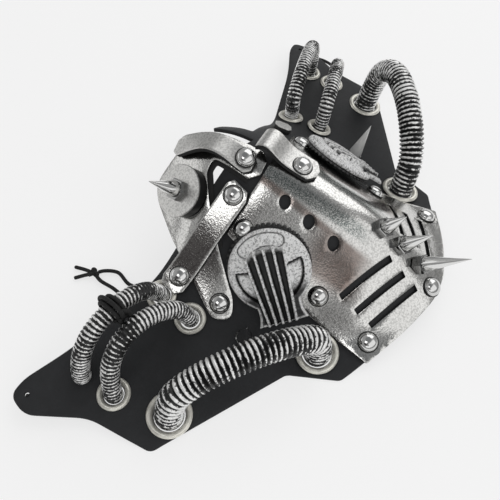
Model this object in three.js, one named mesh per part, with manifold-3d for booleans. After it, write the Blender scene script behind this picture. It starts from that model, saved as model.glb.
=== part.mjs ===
// Steampunk mask: a lower-face mask of black leather with ear wings, a silver muzzle plate, a silver
// surround for the right eye, spikes, cast medallions and corrugated hoses, lying on its wings.
// Millimetres, +Z up. +X is the wearer's left, +Y points to the forehead, the table is Z = 0.
import * as THREE from 'three';
import * as BufferGeometryUtils from 'three/addons/utils/BufferGeometryUtils.js';
import Module from 'manifold-3d';

// Driving dimensions
const leather = 2.0;            // thickness of the black base sheet
const silver = 1.5;             // thickness of the silver sheets
const clearance = 0.3;          // gap between pieces that touch
const layer = 0.4;              // gap between leather sheets that lie on each other
const ridgeRadius = 14;         // roundness of the nose ridge
const footBlend = 16;           // height over which the tent runs out into the wing
const wingRise = 0.175;         // slope of the wings away from the strip they rest on
const restThick = 1.0;          // thickness left at a wing's low edge, where it lies flat on the table
const strapThick = 2.8;         // silver leather with its black backing
const midLength = 60.85;        // Y of the middle of the mask's length, which becomes the origin

// The nose tent, from chin to forehead: ridge height and slope of the flanks
const tentSections = [
  { y: -30, ridge: 0.0, slope: 0.30 },
  { y: -17, ridge: 10.5, slope: 0.36 },
  { y: 0, ridge: 23.5, slope: 0.62 },
  { y: 12, ridge: 32.5, slope: 0.80 },
  { y: 24, ridge: 40.0, slope: 0.98 },
  { y: 37, ridge: 46.0, slope: 1.08 },
  { y: 60, ridge: 53.5, slope: 1.00 },
  { y: 85, ridge: 60.0, slope: 0.86 },
  { y: 105, ridge: 62.0, slope: 0.79 },
  { y: 113, ridge: 62.0, slope: 0.77 },
  { y: 120, ridge: 61.0, slope: 0.90 },
  { y: 130, ridge: 58.0, slope: 1.00 },
  { y: 145, ridge: 50.0, slope: 1.05 },
  { y: 160, ridge: 41.0, slope: 1.05 },
];

// Low edge of a wing, which rests on the table
const lowCorner = new THREE.Vector2(147.7, 74.4);
const notch = new THREE.Vector2(81.2, 34.2);

// Outlines seen from above: x, y and corner radius
const wingOutline = [
  [54, 115.5, 4], [72, 120.5, 6], [124, 135.5, 20], [150, 147, 8], [159.5, 147.5, 7], [163.5, 137, 7],
  [149.4, 109, 6], [lowCorner.x, lowCorner.y, 3], [notch.x, notch.y, 2], [70.8, 8.3, 2], [56, 1, 1],
  [32, -9.5, 8],
];
// Top edge of the base from the right wing: straight under the eye, then round a tab over the nose
const topEdge = [[8.1, 102.4, 1], [9, 129, 1], [18.5, 129, 1], [18, 108.5, 2]];
const plateOutline = [
  [0, 86, 0], [12, 86.8, 6], [39.5, 93, 1.5], [41.5, 85, 4], [48.2, 39, 20], [57, 0, 1.5], [32, -11, 14],
  [9, -17.5, 6], [0, -18, 0],
];
const eyeOutline = [
  [-3.5, 88, 1], [-11, 88, 1], [-15, 93, 1], [-12.8, 114.5, 3], [-18.6, 115.6, 3], [-32, 107, 6],
  [-47.4, 93.2, 20], [-62.3, 76.5, 5], [-71, 73, 5], [-76.5, 82, 6], [-65, 99.5, 4], [-53.6, 117, 12],
  [-34, 140.5, 12], [-25.5, 146, 6], [-8, 137, 12], [1, 128, 8], [0.5, 93, 1],
];

// Holes in the right flank of the muzzle plate, and slots of the left flank, which the right one mirrors
const holeRadius = 3;
const plateHoles = [{ x: -15.4, y: 71.2 }, { x: -16.8, y: 56.2 }, { x: -18.4, y: 40.6 }];
const slotWidth = 2.9;
const plateSlots = [
  { outer: [34.8, 26.4], inner: [8.2, 11.6] },
  { outer: [37.0, 16.2], inner: [9.4, 2.4] },
  { outer: [39.1, 6.8], inner: [10.2, -6.2] },
];

// Hose sizes; a grommet is a ring of this outer radius round the hose
const hoseKinds = {
  hose: { radius: 7.4, ring: 11.6 },
  tube_a: { radius: 4.7, ring: 8.5 },
  tube_b: { radius: 4.7, ring: 8.5 },
};
const hoseEnds = {
  hose: { rear: [128.6, 75.6], front: [63.6, 25.4] },
  tube_a: { rear: [134.0, 123.4], front: [78.6, 111.6] },
  tube_b: { rear: [133.8, 104.8], front: [82.0, 91.8] },
};
// Arches: pull of each end in mm, and lean of each end along the span and to the side in degrees
const hoseArches = [
  { side: 'right', kind: 'tube_a', pull: [42, 33], lean: [9, 18], aside: 2 },
  { side: 'right', kind: 'tube_b', pull: [46, 26], lean: [8, 6], aside: -11 },
  { side: 'right', kind: 'hose', pull: [38, 32], lean: [-7, -24], aside: -5 },
  { side: 'left', kind: 'tube_a', pull: [46, 32], lean: [-16, -36], aside: -3 },
  { side: 'left', kind: 'tube_b', pull: [31, 30], lean: [-18, -6], aside: -7 },
  { side: 'left', kind: 'hose', pull: [69, 34], lean: [-9, -10], aside: -11 },
];
const bareEnd = 'right_tube_a_rear'; // the one end that goes into the leather without a grommet
const hoseStub = 3.2;           // straight length of a hose above its grommet's seat
const wrapAlong = 0.53;         // place of the wound elastic along the right front tube
const wrapLength = 11;

// Rivets: place seen from above
const rivetRadius = 5.1;
const rivetHeight = 3.5;
const plateRivets = [
  { name: 'top', x: 35.5, y: 84.8 },
  { name: 'mid', x: 41, y: 36.7 },
  { name: 'low', x: 47.5, y: 3.8 },
];
const chinRivet = { x: -4, y: -14.6 };
const cheekRivets = [{ name: 'low', x: -68.9, y: 105.4 }, { name: 'top', x: -27.2, y: 95.5 }];
const lugRivet = { x: -68.6, y: 81.3 };
const browRivet = { x: -10.2, y: 97.2 };
const noseRivet = { x: 2, y: 70.1 };

// Spikes: a short collar and a cone; lean tips a spike over to the chin, in degrees
const spikeKinds = {
  mouth: { radius: 4.6, collar: 3, cone: 3.4 },
  wing: { radius: 4.5, collar: 1.4, cone: 4.1 },
  eye: { radius: 4.4, collar: 2, cone: 3.5 },
};
const mouthSpikes = [
  { y: 21.2, length: 19, lean: 0 },
  { y: 9.4, length: 22.5, lean: 0 },
  { y: -3.2, length: 30.42, lean: 9 },
];
const wingSpike = { x: 76, y: 62.5, length: 25 };
const eyeSpikeLength = 22;

// Disc over the right eye
const eyeDisc = { x: -31, y: 122.2, radius: 14.2, pad: 5.8, thick: 1.4 };

// Cast medallions, laid out on their own face: +Y of the face points to the round head
const medallion = {
  x: 43.6, y: 64.6, turn: 47, radius: 22, thick: 2.6, relief: 1.8,
  tailReach: 29, tailHalf: 13.5, waistHalf: 12, finCount: 5, finPitch: 4.3, finWidth: 1.7,
};
const toothRing = { radius: 22.6, thick: 1.7, teeth: 36, toothDepth: 0.8, towardHead: 1.8 };

// Straps: ends seen from above, width, height of both ends over the base, and the arch between them with
// its peak as a share of the length. Level is how far the ends and the arch turn from the slope of the
// flank to the horizontal. A blunt strap keeps its width at the far end.
const straps = {
  brow: { from: [-9.1, 92.8], to: [-9.6, 138.2], width: 12.5, rise: [2.6, 2.6], arch: 4.6, level: [0, 0.9] },
  nose: {
    from: [2.6, 62.6], to: [2.4, 96], width: 13.7, rise: [2.6, 5.7], arch: 4.5, peak: 0.82, level: [1, 1],
    blunt: true,
  },
  cheek: { from: [-74.1, 108.7], to: [-19.1, 94.3], width: 14.4, rise: [2.6, 2.6], arch: 0, level: [0, 0] },
  temple: { from: [40, 100.5], to: [54, 107], width: 11, rise: [0.5, 0.5], arch: 0, level: [0, 0] },
};

// Elastic cord: middle line, with the table at Z = 0
const cordRadius = 1.1;
const tipHole = { x: 155.2, y: 141, radius: 1.7 };
const knot = new THREE.Vector3(-80, 160, 2.3);
const knotRadius = 2.3;
const cordTails = [[-81.5, 173, 1.3], [-87.8, 168.5, 1.3]];
const longStrand = [
  [155.2, 141, 9.4], [155.2, 141, 5.8], [160, 135.5, 2.6], [162.5, 122, 1.4], [157.5, 111, 1.3],
  [146, 105, 1.25], [126, 107, 1.3], [98, 111, 1.3], [55, 113, 1.3], [0, 114, 1.3], [-40, 119, 1.3],
  [-70, 125, 1.3], [-76, 137, 1.3], [-72.6, 148.5, 1.4], [-75.4, 155.4, 1.9], [-78.3, 158.3, 2.25],
];
const shortStrand = [
  [-155.2, 141, 9.4], [-155.2, 141, 5.8], [-150, 136.5, 2.4], [-132, 130, 1.3], [-104, 129.5, 1.3],
  [-86, 134, 1.3], [-82.8, 143, 1.3], [-82.1, 153.8, 1.9], [-80.8, 157.7, 2.25],
];

const wasm = await Module();
wasm.setup();

// Solids
function toSolid(geometry) {
  const bare = geometry.clone();
  bare.deleteAttribute('normal');
  bare.deleteAttribute('uv');
  const merged = BufferGeometryUtils.mergeVertices(bare, 1e-4);
  const vertProperties = new Float32Array(merged.attributes.position.array);
  const triVerts = new Uint32Array(merged.index.array);
  return new wasm.Manifold(new wasm.Mesh({ numProp: 3, vertProperties, triVerts }));
}

function toGeometry(solid) {
  const { vertProperties, triVerts } = solid.getMesh();
  const geometry = new THREE.BufferGeometry();
  geometry.setAttribute('position', new THREE.BufferAttribute(new Float32Array(vertProperties), 3));
  geometry.setIndex(new THREE.BufferAttribute(new Uint32Array(triVerts), 1));
  geometry.computeVertexNormals();
  return geometry;
}

function mirrored(geometry) {
  const copy = geometry.clone();
  copy.scale(-1, 1, 1);
  const index = copy.index.array;
  for (let i = 0; i < index.length; i += 3) {
    [index[i], index[i + 1]] = [index[i + 1], index[i]];
  }
  copy.computeVertexNormals();
  return copy;
}

// Outlines
function roundedShape(rows) {
  const corners = rows.map(([x, y]) => new THREE.Vector2(x, y));
  const shape = new THREE.Shape();
  rows.forEach(([, , radius], i) => {
    const here = corners[i];
    const before = corners[(i + rows.length - 1) % rows.length];
    const after = corners[(i + 1) % rows.length];
    const reach = Math.min(radius, here.distanceTo(before) * 0.45, here.distanceTo(after) * 0.45);
    const enter = here.clone().lerp(before, reach / here.distanceTo(before));
    const leave = here.clone().lerp(after, reach / here.distanceTo(after));
    if (i === 0) shape.moveTo(enter.x, enter.y);
    else shape.lineTo(enter.x, enter.y);
    if (reach > 0) shape.quadraticCurveTo(here.x, here.y, leave.x, leave.y);
  });
  shape.closePath();
  return shape;
}

function bothSides(half) {
  const other = half.filter(([x]) => x !== 0).map(([x, y, radius]) => [-x, y, radius]).reverse();
  const start = half[0][0] === 0 ? half.slice(1) : half;
  const top = half[0][0] === 0 ? [half[0]] : [];
  return [...top, ...start, ...other];
}

function prism(shape, low, high, curveSegments = 3) {
  const depth = high - low;
  const geometry = new THREE.ExtrudeGeometry(shape, { depth, bevelEnabled: false, curveSegments });
  geometry.translate(0, 0, low);
  return toSolid(geometry);
}

// The leather surface: a tent over the nose that runs out into two wings
function sectionValue(y, key) {
  const last = tentSections.length - 1;
  const after = tentSections.findIndex((row) => row.y >= y);
  if (after === 0) return tentSections[0][key];
  if (after < 0) return tentSections[last][key];
  const a = tentSections[after - 1];
  const b = tentSections[after];
  return THREE.MathUtils.mapLinear(y, a.y, b.y, a[key], b[key]);
}

function smoothSection(y, key) {
  const offsets = [-5, -2.5, 0, 2.5, 5];
  return offsets.reduce((sum, offset) => sum + sectionValue(y + offset, key), 0) / offsets.length;
}

const alongEdge = notch.clone().sub(lowCorner).normalize();
const acrossEdge = new THREE.Vector2(alongEdge.y, -alongEdge.x);

function surfaceHeight(x, y) {
  const outward = Math.hypot(x, ridgeRadius) - ridgeRadius;
  const tent = smoothSection(y, 'ridge') - smoothSection(y, 'slope') * outward;
  const inward = new THREE.Vector2(Math.abs(x), y).sub(lowCorner).dot(acrossEdge);
  const wing = restThick + wingRise * Math.max(0, inward);
  const near = Math.max(0, 1 - Math.abs(tent - wing) / footBlend);
  return Math.max(tent, wing) + footBlend * near * near / 4;
}

function surfaceNormal(x, y) {
  const step = 0.5;
  const slopeX = (surfaceHeight(x + step, y) - surfaceHeight(x - step, y)) / (2 * step);
  const slopeY = (surfaceHeight(x, y + step) - surfaceHeight(x, y - step)) / (2 * step);
  return new THREE.Vector3(-slopeX, -slopeY, 1).normalize();
}

function skin(x, y, lift) {
  return new THREE.Vector3(x, y, surfaceHeight(x, y)).addScaledVector(surfaceNormal(x, y), lift);
}

// Closed sheet between two layers of a grid: pointAt(i, j, upper) gives its corners
function sheet(countX, countY, pointAt) {
  const points = [];
  const index = [];
  const lastX = countX - 1;
  const lastY = countY - 1;
  const at = (i, j, upper) => (upper ? countX * countY : 0) + j * countX + i;
  for (const upper of [false, true]) {
    for (let j = 0; j < countY; j += 1) {
      for (let i = 0; i < countX; i += 1) points.push(pointAt(i, j, upper));
    }
  }
  const quad = (a, b, c, d) => index.push(a, b, c, a, c, d);
  for (let j = 0; j + 1 < countY; j += 1) {
    for (let i = 0; i + 1 < countX; i += 1) {
      quad(at(i, j, true), at(i + 1, j, true), at(i + 1, j + 1, true), at(i, j + 1, true));
      index.push(at(i, j, false), at(i + 1, j + 1, false), at(i + 1, j, false));
      index.push(at(i, j, false), at(i, j + 1, false), at(i + 1, j + 1, false));
    }
  }
  for (let i = 0; i + 1 < countX; i += 1) {
    quad(at(i, 0, false), at(i + 1, 0, false), at(i + 1, 0, true), at(i, 0, true));
    quad(at(i + 1, lastY, false), at(i, lastY, false), at(i, lastY, true), at(i + 1, lastY, true));
  }
  for (let j = 0; j + 1 < countY; j += 1) {
    quad(at(0, j + 1, false), at(0, j, false), at(0, j, true), at(0, j + 1, true));
    quad(at(lastX, j, false), at(lastX, j + 1, false), at(lastX, j + 1, true), at(lastX, j, true));
  }
  const geometry = new THREE.BufferGeometry().setFromPoints(points);
  geometry.setIndex(index);
  return geometry;
}

// Grid lines shared by all sheets, so that layers lie parallel
const gridHalfX = [3.5, 7.5, 12, 18, 30, 44, 56, 68, 84, 110, 140, 168];
const gridX = [...gridHalfX.map((x) => -x).reverse(), 0, ...gridHalfX];
const gridY = [-26, -12, 0, 12, 24, 36, 52, 70, 88, 104, 118, 132, 152];

function layerSheet(low, high, fromX, toX, fromY, toY) {
  const xs = gridX.filter((x) => x >= fromX && x <= toX);
  const ys = gridY.filter((y) => y >= fromY && y <= toY);
  return toSolid(sheet(xs.length, ys.length, (i, j, upper) => skin(xs[i], ys[j], upper ? high : low)));
}

// Materials
function finish(color, roughness, metalness) {
  return new THREE.MeshStandardMaterial({ color, roughness, metalness });
}
const looks = {
  leather: () => finish(0x2b2b2d, 0.65, 0),
  silver: () => finish(0xb4b4b0, 0.35, 0.8),
  chrome: () => finish(0xd2d2d0, 0.15, 1),
  nickel: () => finish(0xd6d4c4, 0.3, 1),
  hose: () => finish(0x8c8c8c, 0.45, 0.6),
  pewter: () => finish(0x9a9a98, 0.45, 0.8),
  cord: () => finish(0x141414, 0.8, 0),
};

const mask = new THREE.Group();
function addPiece(name, geometry, material) {
  const piece = new THREE.Mesh(geometry, material);
  piece.name = name;
  mask.add(piece);
  return piece;
}

// Seats: the tangent plane under a round piece, lifted clear of every sample under it
const downRay = new THREE.Raycaster();
const down = new THREE.Vector3(0, 0, -1);
const up = new THREE.Vector3(0, 0, 1);

function topAt(supports, x, y) {
  downRay.set(new THREE.Vector3(x, y, 200), down);
  const hits = downRay.intersectObjects(supports, false);
  return hits.length ? hits[0].point.z : null;
}

function seat(supports, x, y, radius, gap = clearance) {
  supports.forEach((support) => support.updateMatrixWorld());
  const samples = [];
  for (const reach of [0, 0.55, 1]) {
    const count = reach === 0 ? 1 : 12;
    for (let i = 0; i < count; i += 1) {
      const angle = (2 * Math.PI * i) / count;
      const dx = reach * radius * Math.cos(angle);
      const dy = reach * radius * Math.sin(angle);
      const z = topAt(supports, x + dx, y + dy);
      if (z !== null) samples.push({ dx, dy, z });
    }
  }
  const sum = (f) => samples.reduce((total, s) => total + f(s), 0);
  const normalEquations = new THREE.Matrix3().set(
    samples.length, sum((s) => s.dx), sum((s) => s.dy),
    sum((s) => s.dx), sum((s) => s.dx * s.dx), sum((s) => s.dx * s.dy),
    sum((s) => s.dy), sum((s) => s.dx * s.dy), sum((s) => s.dy * s.dy),
  );
  const fit = new THREE.Vector3(sum((s) => s.z), sum((s) => s.dx * s.z), sum((s) => s.dy * s.z));
  fit.applyMatrix3(normalEquations.invert());
  const normal = new THREE.Vector3(-fit.y, -fit.z, 1).normalize();
  const lift = Math.max(...samples.map((s) => s.z - fit.x - fit.y * s.dx - fit.z * s.dy));
  const position = new THREE.Vector3(x, y, fit.x + lift).addScaledVector(normal, gap);
  return { position, normal };
}

function putOn(piece, place) {
  piece.position.copy(place.position);
  piece.quaternion.setFromUnitVectors(up, place.normal);
  piece.updateMatrixWorld();
  return piece;
}

function turned(profile, sides) {
  const points = profile.map(([r, h]) => new THREE.Vector2(r, h));
  return new THREE.LatheGeometry(points, sides).rotateX(Math.PI / 2);
}

// Base sheet, cut off flat at the table and first without the bores of its grommets
const baseShape = roundedShape([...bothSides(wingOutline).slice(0, -1), ...topEdge]);
const basePrism = prism(baseShape, 0, 120);
let baseSolid = layerSheet(-leather, 0, -168, 168, -26, 152).intersect(basePrism);
for (const side of [-1, 1]) {
  const hole = new THREE.CylinderGeometry(tipHole.radius, tipHole.radius, 60, 8).rotateX(Math.PI / 2);
  baseSolid = baseSolid.subtract(toSolid(hole.translate(side * tipHole.x, tipHole.y, 0)));
}
const base = addPiece('base', toGeometry(baseSolid), looks.leather());

// Grommets and the bores under them
const sides = { right: -1, left: 1 };
const grommetSeats = {};
let boredBase = baseSolid;
for (const [side, sign] of Object.entries(sides)) {
  for (const [kind, ends] of Object.entries(hoseEnds)) {
    for (const [end, [x, y]] of Object.entries(ends)) {
      const { radius, ring } = hoseKinds[kind];
      const place = seat([base], sign * x, y, ring);
      grommetSeats[`${side}_${kind}_${end}`] = place;
      const bore = new THREE.CylinderGeometry(radius + 0.6, radius + 0.6, 16, 10).rotateX(Math.PI / 2);
      const cutter = putOn(new THREE.Mesh(bore), place);
      boredBase = boredBase.subtract(toSolid(bore.applyMatrix4(cutter.matrix)));
      if (`${side}_${kind}_${end}` === bareEnd) continue;
      const inner = radius + 0.7;
      const profile = [[inner, 0], [ring, 0], [ring - 1, 1.5], [inner + 0.5, 1.3], [inner, 0]];
      putOn(addPiece(`grommet_${side}_${kind}_${end}`, turned(profile, 12), looks.nickel()), place);
    }
  }
}
base.geometry = toGeometry(boredBase);

// Muzzle plate
function flankCuts() {
  const cuts = plateHoles.map(({ x, y }) => {
    const hole = new THREE.CylinderGeometry(holeRadius, holeRadius, 200, 8).rotateX(Math.PI / 2);
    return toSolid(hole.translate(x, y, 0));
  });
  for (const sign of [-1, 1]) {
    for (const { outer, inner } of plateSlots) {
      const from = new THREE.Vector2(sign * outer[0], outer[1]);
      const along = new THREE.Vector2(sign * inner[0], inner[1]).sub(from);
      const slot = new THREE.BoxGeometry(along.length(), slotWidth, 200);
      slot.translate(along.length() / 2, 0, 0).rotateZ(along.angle()).translate(from.x, from.y, 0);
      cuts.push(toSolid(slot));
    }
  }
  return cuts;
}
let plateSolid = layerSheet(layer, layer + silver, -68, 68, -26, 104);
plateSolid = plateSolid.intersect(prism(roundedShape(bothSides(plateOutline)), -20, 120));
flankCuts().forEach((cut) => {
  plateSolid = plateSolid.subtract(cut);
});
const plate = addPiece('muzzle_plate', toGeometry(plateSolid), looks.silver());

// Surround of the right eye
let eyeSolid = layerSheet(layer, layer + silver, -84, 12, 70, 152);
eyeSolid = eyeSolid.intersect(prism(roundedShape(eyeOutline), -20, 120));
const eyePiece = addPiece('eye_piece', toGeometry(eyeSolid), looks.silver());

const padPlace = seat([eyePiece], eyeDisc.x, eyeDisc.y, eyeDisc.radius * 0.8);
const padTop = eyeDisc.pad + clearance;
const padGeometry = new THREE.CylinderGeometry(eyeDisc.radius - 0.6, eyeDisc.radius - 0.6, eyeDisc.pad, 24);
const discGeometry = new THREE.CylinderGeometry(eyeDisc.radius, eyeDisc.radius, eyeDisc.thick, 24);
padGeometry.rotateX(Math.PI / 2).translate(0, 0, eyeDisc.pad / 2);
discGeometry.rotateX(Math.PI / 2).translate(0, 0, padTop + eyeDisc.thick / 2);
putOn(addPiece('eye_pad', padGeometry, looks.leather()), padPlace);
putOn(addPiece('eye_disc', discGeometry, looks.silver()), padPlace);

// Straps: a strip of stations, narrowed to a six-sided end
function strap(name, { from, to, width, rise, arch, peak = 0.5, level, blunt = false }) {
  const stops = [0, 0.08, 0.16, 0.27, 0.38, 0.5, 0.62, 0.73, 0.84, 0.92, 1];
  const skew = Math.log(0.5) / Math.log(peak);
  const start = new THREE.Vector2(...from);
  const along = new THREE.Vector2(...to).sub(start);
  const across = new THREE.Vector2(along.y, -along.x).normalize();
  const rows = stops.map((u) => {
    const bulge = Math.sin(Math.PI * u ** skew) ** 2;
    const turn = THREE.MathUtils.lerp(level[0], level[1], bulge);
    const flat = start.clone().addScaledVector(along, u);
    const ahead = flat.clone().add(across);
    const fall = surfaceHeight(ahead.x, ahead.y) - surfaceHeight(flat.x, flat.y);
    const side = new THREE.Vector3(across.x, across.y, fall * (1 - turn)).normalize();
    const fromEnd = (blunt ? u : Math.min(u, 1 - u)) * along.length();
    const lift = rise[0] + (rise[1] - rise[0]) * u ** 3;
    const half = width * Math.min(0.5, 0.26 + 0.06 * fromEnd);
    return { middle: skin(flat.x, flat.y, lift).addScaledVector(up, arch * bulge), side, half };
  });
  const pointAt = (i, j, upper) => {
    const { middle, side, half } = rows[j];
    const ahead = rows[Math.min(j + 1, rows.length - 1)].middle;
    const behind = rows[Math.max(j - 1, 0)].middle;
    const normal = side.clone().cross(ahead.clone().sub(behind)).normalize();
    const edge = middle.clone().addScaledVector(side, (i - 1) * half);
    return edge.addScaledVector(normal, upper ? strapThick : 0);
  };
  return addPiece(`${name}_strap`, sheet(3, stops.length, pointAt), looks.silver());
}
const strapPieces = {};
Object.entries(straps).forEach(([name, row]) => {
  strapPieces[name] = strap(name, row);
});

// Rivets
const domeSteps = [0, 0.25, 0.5, 0.75, 1];
const domeProfile = domeSteps.map((t) => {
  const angle = (t * Math.PI) / 2;
  return [rivetRadius * Math.cos(angle), rivetHeight * Math.sin(angle)];
});
function rivet(name, supports, x, y) {
  const geometry = turned([[0, 0], ...domeProfile.slice(0, -1), [0, rivetHeight]], 10);
  return putOn(addPiece(`rivet_${name}`, geometry, looks.chrome()), seat(supports, x, y, rivetRadius));
}
for (const [side, sign] of Object.entries(sides)) {
  plateRivets.forEach(({ name, x, y }) => rivet(`plate_${name}_${side}`, [plate], sign * x, y));
}
rivet('chin', [plate], chinRivet.x, chinRivet.y);
cheekRivets.forEach(({ name, x, y }) => rivet(`cheek_${name}`, [strapPieces.cheek], x, y));
rivet('lug', [eyePiece], lugRivet.x, lugRivet.y);
rivet('brow', [strapPieces.brow], browRivet.x, browRivet.y);
rivet('nose', [strapPieces.nose], noseRivet.x, noseRivet.y);

// Spikes
function spike(name, { radius, collar, cone }, place, length) {
  const profile = [[0, 0], [radius, 0], [radius, collar], [cone, collar + 0.4], [0, length]];
  return putOn(addPiece(`spike_${name}`, turned(profile, 12), looks.chrome()), place);
}
mouthSpikes.forEach(({ y, length, lean }, i) => {
  const tip = THREE.MathUtils.degToRad(lean);
  const { radius } = spikeKinds.mouth;
  const place = seat([plate], 0, y, radius, clearance + radius * Math.sin(tip));
  place.normal.applyAxisAngle(new THREE.Vector3(1, 0, 0), tip);
  spike(`mouth_${i + 1}`, spikeKinds.mouth, place, length);
});
for (const [side, sign] of Object.entries(sides)) {
  const place = seat([base], sign * wingSpike.x, wingSpike.y, spikeKinds.wing.radius);
  spike(`wing_${side}`, spikeKinds.wing, place, wingSpike.length);
}
const discTop = padTop + eyeDisc.thick + clearance;
const onDisc = padPlace.position.clone().addScaledVector(padPlace.normal, discTop);
spike('eye', spikeKinds.eye, { position: onDisc, normal: padPlace.normal }, eyeSpikeLength);

// Medallions
function medallionShape() {
  const { radius, tailReach, tailHalf, waistHalf } = medallion;
  const shape = new THREE.Shape();
  const open = Math.asin(waistHalf / radius);
  const startX = waistHalf;
  const startY = -radius * Math.cos(open);
  shape.moveTo(tailHalf, -tailReach);
  shape.quadraticCurveTo(waistHalf - 1, (startY - tailReach) / 2, startX, startY);
  shape.absarc(0, 0, radius, -Math.PI / 2 + open, -Math.PI / 2 - open + 2 * Math.PI, false);
  shape.quadraticCurveTo(-waistHalf + 1, (startY - tailReach) / 2, -tailHalf, -tailReach);
  shape.closePath();
  return shape;
}

function medallionGeometry() {
  const { radius, thick, relief, finCount, finPitch, finWidth, tailReach } = medallion;
  let body = prism(medallionShape(), 0, thick, 6);
  const top = thick + relief;
  const band = new THREE.Shape();
  band.absarc(0, 0, radius - 2.2, 0.16 * Math.PI, 0.84 * Math.PI, false);
  band.absarc(0, 0, radius - 9, 0.84 * Math.PI, 0.16 * Math.PI, true);
  band.closePath();
  body = body.add(prism(band, thick - 0.5, top, 4));
  for (let i = 0; i < finCount; i += 1) {
    const x = (i - (finCount - 1) / 2) * finPitch;
    const high = 9.5 - 0.06 * x * x;
    const fin = new THREE.BoxGeometry(finWidth, high + tailReach - 0.6, relief + 0.5);
    fin.translate(x, (high - tailReach + 0.6) / 2, thick + relief / 2 - 0.25);
    body = body.add(toSolid(fin));
  }
  for (const side of [-1, 1]) {
    const pad = new THREE.Shape();
    pad.absellipse(side * 14.6, -3.2, 3, 7.5, 0, 2 * Math.PI, false, 0);
    body = body.add(prism(pad, thick - 0.5, top - 0.6, 4));
  }
  return toGeometry(body);
}

function toothRingGeometry() {
  const { radius, thick, teeth, toothDepth, towardHead } = toothRing;
  const shape = new THREE.Shape();
  for (let i = 0; i < 2 * teeth; i += 1) {
    const angle = (Math.PI * i) / teeth;
    const reach = radius - (i % 2) * toothDepth;
    const x = reach * Math.cos(angle);
    const y = reach * Math.sin(angle) + towardHead;
    if (i === 0) shape.moveTo(x, y);
    else shape.lineTo(x, y);
  }
  shape.closePath();
  return new THREE.ExtrudeGeometry(shape, { depth: thick, bevelEnabled: false });
}

// A piece is cut clear of a rivet that it reaches over
function clearOf(piece, rivetPiece) {
  const reach = rivetRadius + clearance;
  const cutter = new THREE.CylinderGeometry(reach, reach, 2 * rivetHeight + 1, 10);
  cutter.rotateX(Math.PI / 2).applyMatrix4(rivetPiece.matrixWorld);
  cutter.applyMatrix4(piece.matrixWorld.clone().invert());
  piece.geometry = toGeometry(toSolid(piece.geometry).subtract(toSolid(cutter)));
}

const castGeometry = medallionGeometry();
const ringGeometry = toGeometry(toSolid(toothRingGeometry()));
for (const [side, sign] of Object.entries(sides)) {
  const supports = side === 'right' ? [base, plate, eyePiece] : [base, plate];
  const facing = (geometry) => (side === 'right' ? geometry : mirrored(geometry));
  const spin = new THREE.Quaternion().setFromAxisAngle(up, sign * THREE.MathUtils.degToRad(medallion.turn));
  const place = seat(supports, sign * medallion.x, medallion.y, medallion.radius);
  const above = place.position.clone().addScaledVector(place.normal, toothRing.thick + clearance);
  const backing = putOn(addPiece(`medallion_ring_${side}`, facing(ringGeometry), looks.leather()), place);
  const badge = addPiece(`medallion_${side}`, facing(castGeometry), looks.pewter());
  putOn(badge, { position: above, normal: place.normal });
  for (const piece of [backing, badge]) {
    piece.quaternion.multiply(spin);
    piece.updateMatrixWorld();
    const touched = ['top', 'mid'].map((row) => mask.getObjectByName(`rivet_plate_${row}_${side}`));
    touched.forEach((rivetPiece) => clearOf(piece, rivetPiece));
  }
}

// Hoses: straight stubs in the grommets, joined by a leaning arch
function archPoints(rear, front, arch) {
  const start = rear.position.clone().addScaledVector(rear.normal, hoseStub);
  const end = front.position.clone().addScaledVector(front.normal, hoseStub);
  const along = end.clone().sub(start).normalize();
  const sideways = along.clone().cross(up).normalize();
  const aside = THREE.MathUtils.degToRad(arch.aside);
  const rise = up.clone().multiplyScalar(Math.cos(aside)).addScaledVector(sideways, Math.sin(aside));
  const lean = arch.lean.map(THREE.MathUtils.degToRad);
  const leaning = (angle, way) => {
    const upward = rise.clone().multiplyScalar(Math.cos(angle));
    return upward.addScaledVector(along, way * Math.sin(angle));
  };
  const pullStart = leaning(lean[0], 1);
  const pullEnd = leaning(lean[1], -1);
  const curve = new THREE.CubicBezierCurve3(
    start, start.clone().addScaledVector(pullStart, arch.pull[0]),
    end.clone().addScaledVector(pullEnd, arch.pull[1]), end,
  );
  const buried = 1.7;
  const bottom = rear.position.clone().addScaledVector(rear.normal, -buried);
  const last = front.position.clone().addScaledVector(front.normal, -buried);
  const middle = [0, 0.17, 0.33, 0.5, 0.67, 0.83, 1].map((t) => curve.getPoint(t));
  return [bottom, ...middle, last];
}

function tube(curve, radius, sidesCount, steps) {
  const corners = [];
  for (let i = 0; i < sidesCount; i += 1) {
    const angle = (2 * Math.PI * i) / sidesCount;
    corners.push(new THREE.Vector2(radius * Math.cos(angle), radius * Math.sin(angle)));
  }
  const section = new THREE.Shape(corners);
  return new THREE.ExtrudeGeometry(section, { steps, bevelEnabled: false, extrudePath: curve });
}

for (const arch of hoseArches) {
  const key = `${arch.side}_${arch.kind}`;
  const points = archPoints(grommetSeats[`${key}_rear`], grommetSeats[`${key}_front`], arch);
  const curve = new THREE.CatmullRomCurve3(points, false, 'centripetal');
  addPiece(`hose_${key}`, tube(curve, hoseKinds[arch.kind].radius, 10, 12), looks.hose());
  if (key === 'right_tube_a') {
    const middle = curve.getPointAt(wrapAlong);
    const tangent = curve.getTangentAt(wrapAlong);
    const inner = hoseKinds[arch.kind].radius + 1.1;
    const half = wrapLength / 2;
    const swell = [[inner + 1, -half], [inner + 2, 0], [inner + 1, half]];
    const profile = [[inner, -half], ...swell, [inner, half], [inner, -half]];
    putOn(addPiece('tube_wrap', turned(profile, 12), looks.cord()), { position: middle, normal: tangent });
  }
}

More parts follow.
